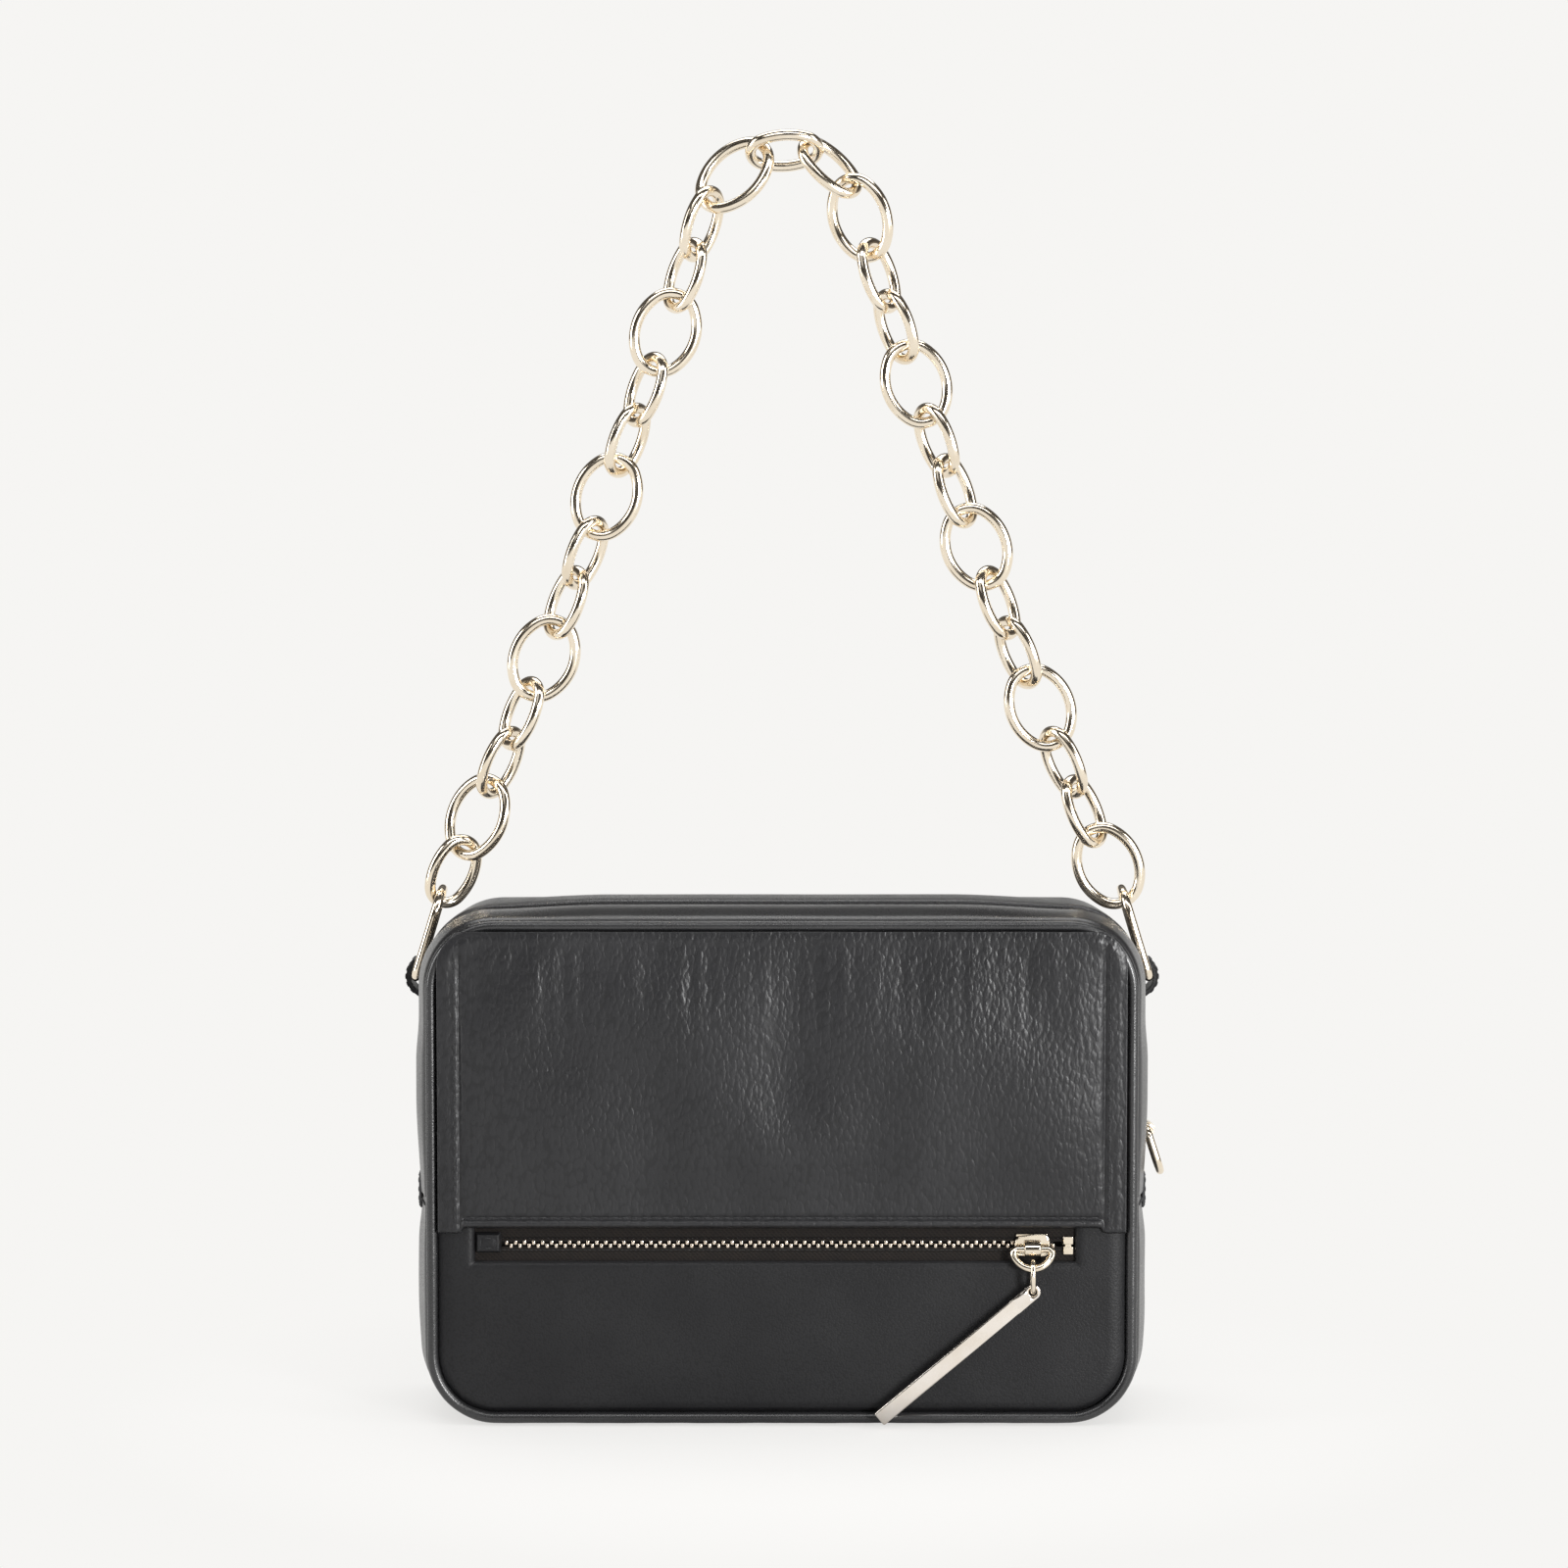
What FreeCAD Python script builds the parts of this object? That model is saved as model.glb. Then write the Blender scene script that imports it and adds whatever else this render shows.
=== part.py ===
# Chain shoulder bag: a leather box body with a zipped gusset, a flapped zip pocket and a strap of oval links.
# Frame: X across the bag, the front faces -Y, Z up, origin at the middle of the base. Millimetres, degrees.
import FreeCAD
import Part
import Sketcher
import math
import os

os.makedirs("parts", exist_ok=True)

SIZES = {
    # box body
    "body_width": 225.0,
    "body_height": 158.0,
    "body_depth": 65.0,
    "corner_radius": 22.0,
    "leather": 1.8,
    "panel_thick": 2.0,
    "panel_setback": 0.8,
    "piping_dia": 4.3,
    "piping_inset": 0.4,
    # flap on the front
    "flap_thick": 2.0,
    "flap_inset": 5.0,
    "flap_corner": 6.0,
    "flap_lift": 5.1,
    # zip parts shared by both zips
    "tape_thick": 0.6,
    "tooth_pitch": 2.8,
    "tooth_along": 1.4,
    "tooth_across": 1.45,
    "tooth_deep": 2.0,
    "teeth_slot": 1.5,
    "slider_length": 11.0,
    "slider_plate": 1.1,
    "slider_flange": 1.05,
    "slider_play": 0.35,
    "slider_post": 0.8,
    "crown_wall": 0.8,
    "crown_long": 4.6,
    # main zip round the gusset
    "zip_end": 71.0,
    "zip_opening": 9.0,
    "main_tape_width": 19.0,
    "main_tape_tuck": 8.0,
    "main_slider_rise": 17.0,
    "main_pull_wire": 2.6,
    "main_pull_width": 11.5,
    "main_pull_reach": 14.0,
    "main_pull_tilt": 18.0,
    "end_tab_thick": 1.0,
    "end_tab_tall": 12.0,
    "end_tab_wide": 30.0,
    # pocket zip in the front panel
    "pocket_zip_height": 56.5,
    "pocket_left_margin": 15.5,
    "pocket_right_margin": 19.5,
    "pocket_opening": 15.0,
    "pocket_tape_width": 24.0,
    "pocket_slider_margin": 35.0,
    "pocket_stop_margin": 23.8,
    "pocket_stop_wide": 3.4,
    "pocket_tab_wide": 8.0,
    "pocket_tab_tall": 6.4,
    "pocket_tab_thick": 2.2,
    "pocket_bag_floor": 8.0,
    "pocket_bag_deep": 7.1,
    # pull of the pocket zip
    "pull_ring_wire": 2.2,
    "pull_ring_radius": 6.2,
    "pull_ring_corner": 1.4,
    "pull_ring_tilt": 25.0,
    "pull_link_wire": 1.6,
    "pull_link_play": 0.25,
    "pull_link_length": 11.0,
    "pull_link_width": 7.6,
    "pull_link_end": 2.6,
    "pull_bar_length": 62.0,
    "pull_bar_wide": 4.8,
    "pull_bar_deep": 3.4,
    "pull_bar_angle": 40.0,
    "pull_eye_deep": 1.7,
    "pull_eye_long": 7.5,
    "pull_eye_play": 0.45,
    # lining and base
    "lining": 0.8,
    "pocket_lining": 0.6,
    "lining_mouth": 12.0,
    "board_thick": 1.6,
    "board_margin": 3.0,
    # strap loops and rings
    "strap_depth": 16.0,
    "loop_drop": 23.2,
    "loop_inner": 5.3,
    "loop_leather": 1.5,
    "loop_wide": 12.0,
    "ring_wire": 3.0,
    "ring_side_play": 0.6,
    "ring_corner": 3.0,
    "ring_reach": 28.5,
    "ring_offset": 3.4,
    "ring_lean": 17.0,
    "ring_clearance": 0.4,
    # chain links
    "link_wire": 3.5,
    "big_length": 28.8,
    "big_width": 22.4,
    "big_end": 7.7,
    "small_length": 24.8,
    "small_width": 16.9,
    "small_end": 5.7,
    "link_gap": 0.9,
    "crest_slack": 1.0,
    "strap_bow": 3.0,
    "strap_crest": 26.0,
}

# Places that follow from the sizes, as sheet formulas
PLACES = {
    "flap_hem": "=pocket_zip_height + flap_lift",
    "pocket_left": "=body_width / 2 - pocket_left_margin",
    "pocket_right": "=body_width / 2 - pocket_right_margin",
    "pocket_slider_x": "=body_width / 2 - pocket_slider_margin",
    "pocket_stop_x": "=body_width / 2 - pocket_stop_margin",
    "loop_height": "=body_height - loop_drop",
    "main_slider_height": "=zip_end + main_slider_rise",
}

doc = FreeCAD.newDocument("chain_bag")
sheet = doc.addObject("Spreadsheet::Sheet", "Bag")
for row, (alias, number) in enumerate([*SIZES.items(), *PLACES.items()], start=1):
    sheet.set(f"A{row}", alias)
    sheet.set(f"B{row}", str(number))
    sheet.setAlias(f"B{row}", alias)
doc.recompute()

X_AXIS = FreeCAD.Vector(1, 0, 0)
Y_AXIS = FreeCAD.Vector(0, 1, 0)
Z_AXIS = FreeCAD.Vector(0, 0, 1)
subparts = []


def value(formula):
    return float(sheet.evalExpression(formula))


def size(alias):
    return value("Bag." + alias)


# Reference planes of the box, as formulas over the sheet
PIPING_R = "(Bag.piping_dia / 2)"
PIPING_LINE = f"(Bag.piping_inset + {PIPING_R})"
HALF_WIDTH = "(Bag.body_width / 2)"
HALF_DEPTH = "(Bag.body_depth / 2)"
SEAM_Y = f"({HALF_DEPTH} - {PIPING_R})"
PANEL_OUT = f"({HALF_DEPTH} - Bag.panel_setback)"
PANEL_IN = f"({PANEL_OUT} - Bag.panel_thick)"
TAPE_IN = "(Bag.leather + Bag.tape_thick)"
TAPE_MID = "(Bag.leather + Bag.tape_thick / 2)"
TEETH_EDGE = "(Bag.teeth_slot / 2 + Bag.tooth_across)"
LINING_BACK = f"({HALF_DEPTH} - Bag.piping_dia - 0.1)"
POCKET_BACK = f"({PANEL_IN} - Bag.tape_thick - Bag.pocket_bag_deep)"
LINING_FLOOR = "(Bag.leather + Bag.board_thick)"


# Sketch, solid and boolean helpers
def new_body(name):
    return doc.addObject("PartDesign::Body", name)


def new_sketch(body, name, role):
    plane = next(item for item in body.Origin.OriginFeatures if item.Role == role)
    sketch = body.newObject("Sketcher::SketchObject", name)
    sketch.AttachmentSupport = [(plane, "")]
    sketch.MapMode = "FlatFace"
    return sketch


def hold(sketch, kind, *places):
    sketch.addConstraint(Sketcher.Constraint(kind, *places))


def drive(sketch, name, formula, kind, *places):
    index = sketch.addConstraint(Sketcher.Constraint(kind, *places, value(formula)))
    sketch.renameConstraint(index, name)
    sketch.setExpression("Constraints." + name, formula)


def add_line(sketch, x1, y1, x2, y2):
    ends = FreeCAD.Vector(x1, y1, 0), FreeCAD.Vector(x2, y2, 0)
    return sketch.addGeometry(Part.LineSegment(*ends), False)


def add_arc(sketch, x, y, radius, start, end):
    circle = Part.Circle(FreeCAD.Vector(x, y, 0), Z_AXIS, radius)
    return sketch.addGeometry(Part.ArcOfCircle(circle, start, end), False)


def chain_tangent(sketch, first, last):
    for item in range(first, last):
        hold(sketch, "Tangent", item, 2, item + 1, 1)


def rounded_rect(sketch, tag, half, top, tall, corner):
    """Outline that starts at the middle of its top line and runs anticlockwise."""
    w, z1, r = value(half), value(top), value(corner)
    z0 = z1 - value(tall)
    quarter = math.pi / 2
    first = add_line(sketch, 0, z1, r - w, z1)
    add_arc(sketch, r - w, z1 - r, r, quarter, 2 * quarter)
    left = add_line(sketch, -w, z1 - r, -w, z0 + r)
    add_arc(sketch, r - w, z0 + r, r, 2 * quarter, 3 * quarter)
    bottom = add_line(sketch, r - w, z0, w - r, z0)
    add_arc(sketch, w - r, z0 + r, r, 3 * quarter, 4 * quarter)
    right = add_line(sketch, w, z0 + r, w, z1 - r)
    add_arc(sketch, w - r, z1 - r, r, 0, quarter)
    last = add_line(sketch, w - r, z1, 0, z1)
    chain_tangent(sketch, first, last)
    hold(sketch, "Coincident", last, 2, first, 1)
    hold(sketch, "PointOnObject", first, 1, -2)
    for item in (first, bottom, last):
        hold(sketch, "Horizontal", item)
    for item in (left, right):
        hold(sketch, "Vertical", item)
    for item in (first + 3, first + 5, first + 7):
        hold(sketch, "Equal", first + 1, item)
    drive(sketch, tag + "_left", half, "DistanceX", left, 1, -1, 1)
    drive(sketch, tag + "_right", half, "DistanceX", -1, 1, right, 1)
    drive(sketch, tag + "_top", top, "DistanceY", -1, 1, first, 1)
    drive(sketch, tag + "_tall", tall, "DistanceY", bottom, 1, first, 1)
    drive(sketch, tag + "_corner", corner, "Radius", first + 1)


def add_circle(sketch, tag, x, y, radius):
    """Circle on one of the sketch axes: one of x and y is None and stays on the axis."""
    centre = FreeCAD.Vector(value(x) if x else 0, value(y) if y else 0, 0)
    ring = sketch.addGeometry(Part.Circle(centre, Z_AXIS, value(radius)), False)
    if not x and not y:
        hold(sketch, "Coincident", ring, 3, -1, 1)
    elif x:
        hold(sketch, "PointOnObject", ring, 3, -1)
        drive(sketch, tag + "_x", x, "DistanceX", -1, 1, ring, 3)
    else:
        hold(sketch, "PointOnObject", ring, 3, -2)
        drive(sketch, tag + "_y", y, "DistanceY", -1, 1, ring, 3)
    drive(sketch, tag + "_radius", radius, "Radius", ring)


def add_pad(body, name, sketch, length):
    pad = body.newObject("PartDesign::Pad", name)
    pad.Profile = sketch
    pad.setExpression("Length", length)
    return pad


def add_sweep(body, name, profile, spine):
    doc.recompute()
    pipe = body.newObject("PartDesign::AdditivePipe", name)
    pipe.Profile = profile
    pipe.Spine = (spine, [])
    return pipe


def place(item, x="0", y="0", z="0", rotation=None):
    if rotation:
        item.Placement = FreeCAD.Placement(FreeCAD.Vector(), rotation)
    for axis, formula in zip("xyz", (x, y, z)):
        item.setExpression("Placement.Base." + axis, formula)


def block(name, x0, x1, y0, y1, z0, z1):
    box = doc.addObject("Part::Box", name)
    box.setExpression("Length", f"{x1} - ({x0})")
    box.setExpression("Width", f"{y1} - ({y0})")
    box.setExpression("Height", f"{z1} - ({z0})")
    place(box, x0, y0, z0)
    return box


def rod(name, radius, length, rotation=None, x="0", y="0", z="0"):
    item = doc.addObject("Part::Cylinder", name)
    item.setExpression("Radius", radius)
    item.setExpression("Height", length)
    place(item, x, y, z, rotation)
    return item


def join(kind, name, base, tool):
    item = doc.addObject("Part::" + kind, name)
    item.Base = base
    item.Tool = tool
    return item


def fuse(name, shapes):
    item = doc.addObject("Part::MultiFuse", name)
    item.Shapes = shapes
    item.Refine = True
    return item


def finish(item, label):
    item.Label = label
    subparts.append(item)
    return item


# Piping: a round cord along the front and the back seam
def make_piping(name, y):
    body = new_body(name)
    path = new_sketch(body, name + "_path", "XZ_Plane")
    half = f"{HALF_WIDTH} - {PIPING_LINE}"
    top = f"Bag.body_height - {PIPING_LINE}"
    tall = f"Bag.body_height - 2 * {PIPING_LINE}"
    rounded_rect(path, "path", half, top, tall, f"Bag.corner_radius - {PIPING_LINE}")
    section = new_sketch(body, name + "_section", "YZ_Plane")
    add_circle(section, "cord", None, top, PIPING_R)
    add_sweep(body, name + "_sweep", section, path)
    place(body, y=y)
    return finish(body, name)


front_piping = make_piping("front_piping", f"-{SEAM_Y}")
back_piping = make_piping("back_piping", SEAM_Y)


# Flat panels and bands that follow the outline of the box
def panel_blank(name, inset, y, thick, radius):
    body = new_body(name)
    outline = new_sketch(body, name + "_outline", "XZ_Plane")
    half = f"{HALF_WIDTH} - {inset}"
    top = f"Bag.body_height - {inset}"
    tall = f"Bag.body_height - 2 * {inset}"
    rounded_rect(outline, "edge", half, top, tall, radius)
    add_pad(body, name + "_pad", outline, thick)
    place(body, y=y)
    return body


def band_blank(name, outer, inner, y0, y1):
    body = new_body(name)
    outline = new_sketch(body, name + "_outline", "XZ_Plane")
    for tag, inset in (("outer", outer), ("inner", inner)):
        half = f"{HALF_WIDTH} - {inset}"
        top = f"Bag.body_height - {inset}"
        tall = f"Bag.body_height - 2 * {inset}"
        rounded_rect(outline, tag, half, top, tall, f"Bag.corner_radius - {inset}")
    add_pad(body, name + "_pad", outline, f"{y1} - ({y0})")
    place(body, y=y1)
    return body


def above(name, height):
    return block(name, f"-{HALF_WIDTH} - 5", f"{HALF_WIDTH} + 5", f"-{HALF_DEPTH} - 5", f"{HALF_DEPTH} + 5",
                 height, "Bag.body_height + 5")


def below(name, height):
    return block(name, f"-{HALF_WIDTH} - 5", f"{HALF_WIDTH} + 5", f"-{HALF_DEPTH} - 5", f"{HALF_DEPTH} + 5",
                 "-5", height)


# Front panel with the pocket opening, and the plain back panel
panel_corner = f"Bag.corner_radius - {PIPING_LINE}"
front_blank = panel_blank("front_panel_blank", PIPING_LINE, f"-{PANEL_IN}", "Bag.panel_thick", panel_corner)
front_seamed = join("Cut", "front_panel_seamed", front_blank, front_piping)
pocket_gap = block("pocket_gap", "-Bag.pocket_left", "Bag.pocket_right", f"-{HALF_DEPTH} - 2", "0",
                   "Bag.pocket_zip_height - Bag.pocket_opening / 2",
                   "Bag.pocket_zip_height + Bag.pocket_opening / 2")
finish(join("Cut", "front_panel", front_seamed, pocket_gap), "front_panel")
back_blank = panel_blank("back_panel_blank", PIPING_LINE, PANEL_OUT, "Bag.panel_thick", panel_corner)
finish(join("Cut", "back_panel", back_blank, back_piping), "back_panel")

# Flap sewn over the upper front, its squarer corners lying on the piping
flap_blank = panel_blank("flap_blank", "Bag.flap_inset", f"-{PANEL_OUT}", "Bag.flap_thick", "Bag.flap_corner")
flap_upper = join("Common", "flap_upper", flap_blank, above("flap_region", "Bag.flap_hem"))
finish(join("Cut", "flap", flap_upper, front_piping), "flap")

# Gusset: two zip strips above, one wide strip below
strip_edge = "(Bag.zip_opening / 2)"
strip_front = band_blank("strip_front_blank", "0", "Bag.leather", f"-{SEAM_Y}", f"-{strip_edge}")
strip_front_top = join("Common", "strip_front_top", strip_front, above("strip_front_region", "Bag.zip_end"))
finish(join("Cut", "zip_gusset_front", strip_front_top, front_piping), "zip_gusset_front")
strip_back = band_blank("strip_back_blank", "0", "Bag.leather", strip_edge, SEAM_Y)
strip_back_top = join("Common", "strip_back_top", strip_back, above("strip_back_region", "Bag.zip_end"))
finish(join("Cut", "zip_gusset_back", strip_back_top, back_piping), "zip_gusset_back")
base_strip = band_blank("base_strip_blank", "0", "Bag.leather", f"-{SEAM_Y}", SEAM_Y)
base_low = join("Common", "base_strip_low", base_strip, below("base_strip_region", "Bag.zip_end"))
base_front = join("Cut", "base_strip_front", base_low, front_piping)
finish(join("Cut", "bottom_gusset", base_front, back_piping), "bottom_gusset")

# Lining bag, stiffener under it and the pocket bag
lining_body = new_body("lining_outer")
lining_outline = new_sketch(lining_body, "lining_outline", "XZ_Plane")
lining_hollow = new_body("lining_hollow")
hollow_outline = new_sketch(lining_hollow, "hollow_outline", "XZ_Plane")
for outline, wall in ((lining_outline, "0"), (hollow_outline, "Bag.lining")):
    inset = f"({TAPE_IN} + {wall})"
    tall = f"Bag.body_height - {TAPE_IN} - {LINING_FLOOR} - 2 * {wall}"
    rounded_rect(outline, "edge", f"{HALF_WIDTH} - {inset}", f"Bag.body_height - {inset}", tall,
                 f"Bag.corner_radius - {inset}")
add_pad(lining_body, "lining_pad", lining_outline, f"{LINING_BACK} + {POCKET_BACK}")
add_pad(lining_hollow, "hollow_pad", hollow_outline, f"{LINING_BACK} + {POCKET_BACK} - 2 * Bag.lining")
place(lining_body, y=LINING_BACK)
place(lining_hollow, y=f"{LINING_BACK} - Bag.lining")
lining_shell = join("Cut", "lining_shell", lining_body, lining_hollow)
lining_gap = block("lining_gap", f"-{HALF_WIDTH}", HALF_WIDTH,
                   "-Bag.lining_mouth / 2", "Bag.lining_mouth / 2",
                   "Bag.zip_end - Bag.main_tape_tuck + 2", "Bag.body_height")
finish(join("Cut", "main_lining", lining_shell, lining_gap), "main_lining")

board_half = f"({HALF_WIDTH} - Bag.corner_radius)"
finish(block("base_board", f"-{board_half}", board_half, f"-{POCKET_BACK} + Bag.board_margin",
             f"{LINING_BACK} - Bag.board_margin", "Bag.leather", LINING_FLOOR), "base_board")

bag_top = "(Bag.pocket_zip_height + Bag.pocket_tape_width / 2 + 1)"
pouch_front = f"-({PANEL_IN} - Bag.tape_thick)"
pouch_outer = block("pouch_outer", "-Bag.pocket_left - 2", "Bag.pocket_right + 2", pouch_front,
                    f"-{POCKET_BACK}", "Bag.pocket_bag_floor", bag_top)
pouch_inner = block("pouch_inner", "-Bag.pocket_left - 2 + Bag.pocket_lining",
                    "Bag.pocket_right + 2 - Bag.pocket_lining", f"{pouch_front} + Bag.pocket_lining",
                    f"-{POCKET_BACK} - Bag.pocket_lining", "Bag.pocket_bag_floor + Bag.pocket_lining",
                    f"{bag_top} - Bag.pocket_lining")
pouch_shell = join("Cut", "pouch_shell", pouch_outer, pouch_inner)
pouch_mouth = block("pouch_mouth", "-Bag.pocket_left", "Bag.pocket_right", f"{pouch_front} - 1",
                    f"{pouch_front} + Bag.pocket_lining + 0.2",
                    "Bag.pocket_zip_height - Bag.pocket_opening / 2 - 0.5",
                    "Bag.pocket_zip_height + Bag.pocket_opening / 2 + 0.5")
finish(join("Cut", "pocket_lining", pouch_shell, pouch_mouth), "pocket_lining")


# Zip tapes: two woven strips along each zip
def pair(name, first, second):
    item = doc.addObject("Part::Compound", name)
    item.Links = [first, second]
    return finish(item, name)


tape_half = "(Bag.main_tape_width / 2)"
tape_low = "Bag.zip_end - Bag.main_tape_tuck"
tape_runs = []
for side, y0, y1 in (("front", f"-{tape_half}", f"-{TEETH_EDGE}"), ("back", TEETH_EDGE, tape_half)):
    tape_ring = band_blank(f"main_tape_{side}_blank", "Bag.leather", TAPE_IN, y0, y1)
    tape_region = above(f"main_tape_{side}_region", tape_low)
    tape_runs.append(join("Common", f"main_tape_{side}", tape_ring, tape_region))
pair("main_zip_tape", *tape_runs)

pocket_tape_half = "(Bag.pocket_tape_width / 2)"
tape_strips = []
for side, z0, z1 in (("lower", f"-{pocket_tape_half}", f"-{TEETH_EDGE}"),
                     ("upper", TEETH_EDGE, pocket_tape_half)):
    tape_strips.append(block(f"pocket_tape_{side}", "-Bag.pocket_left - 1", "Bag.pocket_right + 1",
                             f"-{PANEL_IN}", f"-{PANEL_IN} + Bag.tape_thick",
                             f"Bag.pocket_zip_height + {z0}", f"Bag.pocket_zip_height + {z1}"))
pair("pocket_zip_tape", *tape_strips)


# Zip teeth: two staggered rows of small blocks on the tape edges
def tooth_rows(stations):
    """Blocks at (point, along, across) stations, the rows half a pitch apart."""
    along, across, deep = size("tooth_along"), size("tooth_across"), size("tooth_deep")
    blocks = []
    for point, direction, sideways, row in stations:
        outward = direction.cross(sideways)
        middle = point + sideways * (row * (size("teeth_slot") + across) / 2)
        corner = FreeCAD.Vector(-along / 2, -across / 2, -deep / 2)
        tooth = Part.makeBox(along, across, deep, corner)
        tooth.Placement = FreeCAD.Placement(middle, FreeCAD.Rotation(direction, sideways, outward, "XYZ"))
        blocks.append(tooth)
    return Part.makeCompound(blocks)


def gusset_path(distance):
    """Point and direction on the zip line, measured from the top of the straight left run."""
    inset = value(TAPE_MID)
    radius = size("corner_radius") - inset
    shoulder = size("body_height") - size("corner_radius")
    arm = size("body_width") / 2 - size("corner_radius")
    bend = radius * math.pi / 2
    x_side = size("body_width") / 2 - inset
    if distance < 0:
        return FreeCAD.Vector(-x_side, 0, shoulder + distance), FreeCAD.Vector(0, 0, 1)
    if distance < bend:
        turn = distance / radius
        point = FreeCAD.Vector(-arm - radius * math.cos(turn), 0, shoulder + radius * math.sin(turn))
        return point, FreeCAD.Vector(math.sin(turn), 0, math.cos(turn))
    if distance < bend + 2 * arm:
        return FreeCAD.Vector(distance - bend - arm, 0, shoulder + radius), FreeCAD.Vector(1, 0, 0)
    if distance < 2 * bend + 2 * arm:
        turn = (distance - bend - 2 * arm) / radius
        point = FreeCAD.Vector(arm + radius * math.sin(turn), 0, shoulder + radius * math.cos(turn))
        return point, FreeCAD.Vector(math.cos(turn), 0, -math.sin(turn))
    return FreeCAD.Vector(x_side, 0, shoulder - (distance - 2 * bend - 2 * arm)), FreeCAD.Vector(0, 0, -1)


def main_stations():
    inset = value(TAPE_MID)
    low = size("zip_end") + size("end_tab_tall") / 2 + size("tooth_pitch")
    side_run = size("body_height") - size("corner_radius") - low
    bend = (size("corner_radius") - inset) * math.pi / 2
    length = 2 * side_run + 2 * bend + size("body_width") - 2 * size("corner_radius")
    count = int(length / size("tooth_pitch"))
    for index in range(2 * count):
        point, direction = gusset_path(index * size("tooth_pitch") / 2 - side_run)
        yield point, direction, Y_AXIS, 1 if index % 2 else -1


def pocket_stations():
    start = -size("pocket_left") + 2 + size("pocket_tab_wide") + size("tooth_along")
    end = size("pocket_stop_x") - size("pocket_stop_wide") / 2 - size("tooth_along")
    count = int((end - start) / size("tooth_pitch"))
    y = -value(PANEL_IN) + size("tape_thick") / 2
    for index in range(2 * count):
        x = start + index * size("tooth_pitch") / 2
        yield FreeCAD.Vector(x, y, size("pocket_zip_height")), X_AXIS, Z_AXIS, 1 if index % 2 else -1


for label, stations in (("main_zip_teeth", main_stations()), ("pocket_zip_teeth", pocket_stations())):
    teeth = doc.addObject("Part::Feature", label)
    teeth.Shape = tooth_rows(stations)
    finish(teeth, label)


# Zip slider: two plates on a post, side flanges and a crown over the pull
CHANNEL = "(Bag.tooth_deep / 2 + Bag.slider_play)"
PLATE_TOP = f"({CHANNEL} + Bag.slider_plate)"


def crown_tunnel(wire):
    return f"({wire} / 2 + Bag.slider_play)"


def pull_height(wire):
    return f"({PLATE_TOP} + {crown_tunnel(wire)} + 0.3)"


def make_slider(label, wire, tunnel_axis, crown_shift):
    """Built with the zip along X, the tape in XY and the outside up, nose at +X."""
    half_long = "(Bag.slider_length / 2)"
    flange_in = f"({TEETH_EDGE} + Bag.slider_play)"
    half = f"({flange_in} + Bag.slider_flange)"
    slot = "(Bag.tape_thick / 2 + Bag.slider_play)"
    solids = []
    for tag, z0, z1 in (("top", CHANNEL, PLATE_TOP), ("under", f"-{PLATE_TOP}", f"-{CHANNEL}")):
        solids.append(block(f"{label}_{tag}", f"-{half_long}", half_long, f"-{half}", half, z0, z1))
    for tag, z0, z1 in (("top", slot, CHANNEL), ("under", f"-{CHANNEL}", f"-{slot}")):
        for hand, y0, y1 in (("a", flange_in, half), ("b", f"-{half}", f"-{flange_in}")):
            solids.append(block(f"{label}_flange_{tag}_{hand}", f"-{half_long}", half_long, y0, y1, z0, z1))
    solids.append(block(f"{label}_post", f"{half_long} - 3.2", f"{half_long} - 0.4", "-Bag.slider_post / 2",
                        "Bag.slider_post / 2", f"-{CHANNEL}", CHANNEL))
    tunnel = crown_tunnel(wire)
    reach = f"({tunnel} + Bag.crown_wall)"
    run = "(Bag.crown_long / 2)"
    roof = f"({pull_height(wire)} + {reach})"
    if tunnel_axis == "X":
        crown = block(f"{label}_crown", f"-{run}", run,
                      f"{crown_shift} - {reach}", f"{crown_shift} + {reach}",
                      f"{PLATE_TOP} - 0.2", roof)
        bore = rod(f"{label}_bore", tunnel, "Bag.crown_long + 2", FreeCAD.Rotation(Y_AXIS, 90),
                   f"-{run} - 1", crown_shift, pull_height(wire))
    else:
        crown = block(f"{label}_crown", f"-{reach}", reach, f"-{run}", run, f"{PLATE_TOP} - 0.2", roof)
        bore = rod(f"{label}_bore", tunnel, "Bag.crown_long + 2", FreeCAD.Rotation(X_AXIS, -90),
                   "0", f"-{run} - 1", pull_height(wire))
    solids.append(crown)
    return finish(join("Cut", label, fuse(f"{label}_cast", solids), bore), label)


# Closed wire rings with one straight bar, for the pulls and the strap
def make_d_ring(label, wire, half, corner, reach):
    """Ring in the YZ plane: bar along Y through the origin, round end up at reach."""
    body = new_body(label)
    path = new_sketch(body, label + "_path", "YZ_Plane")
    h, q, top = value(half), value(corner), value(reach)
    quarter = math.pi / 2
    first = add_line(path, 0, 0, h - q, 0)
    add_arc(path, h - q, q, q, 3 * quarter, 4 * quarter)
    right = add_line(path, h, q, h, top - h)
    crest = add_arc(path, 0, top - h, h, 0, 2 * quarter)
    left = add_line(path, -h, top - h, -h, q)
    add_arc(path, q - h, q, q, 2 * quarter, 3 * quarter)
    last = add_line(path, q - h, 0, 0, 0)
    chain_tangent(path, first, last)
    hold(path, "Coincident", first, 1, -1, 1)
    hold(path, "Coincident", last, 2, first, 1)
    for item in (first, last):
        hold(path, "Horizontal", item)
    for item in (left, right):
        hold(path, "Vertical", item)
    hold(path, "Equal", first + 1, first + 5)
    hold(path, "PointOnObject", crest, 3, -2)
    drive(path, "corner", corner, "Radius", first + 1)
    drive(path, "half", half, "Radius", crest)
    drive(path, "crest", f"{reach} - {half}", "DistanceY", -1, 1, crest, 3)
    section = new_sketch(body, label + "_section", "XZ_Plane")
    add_circle(section, "wire", None, None, f"{wire} / 2")
    add_sweep(body, label + "_sweep", section, path)
    return finish(body, label)


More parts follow.
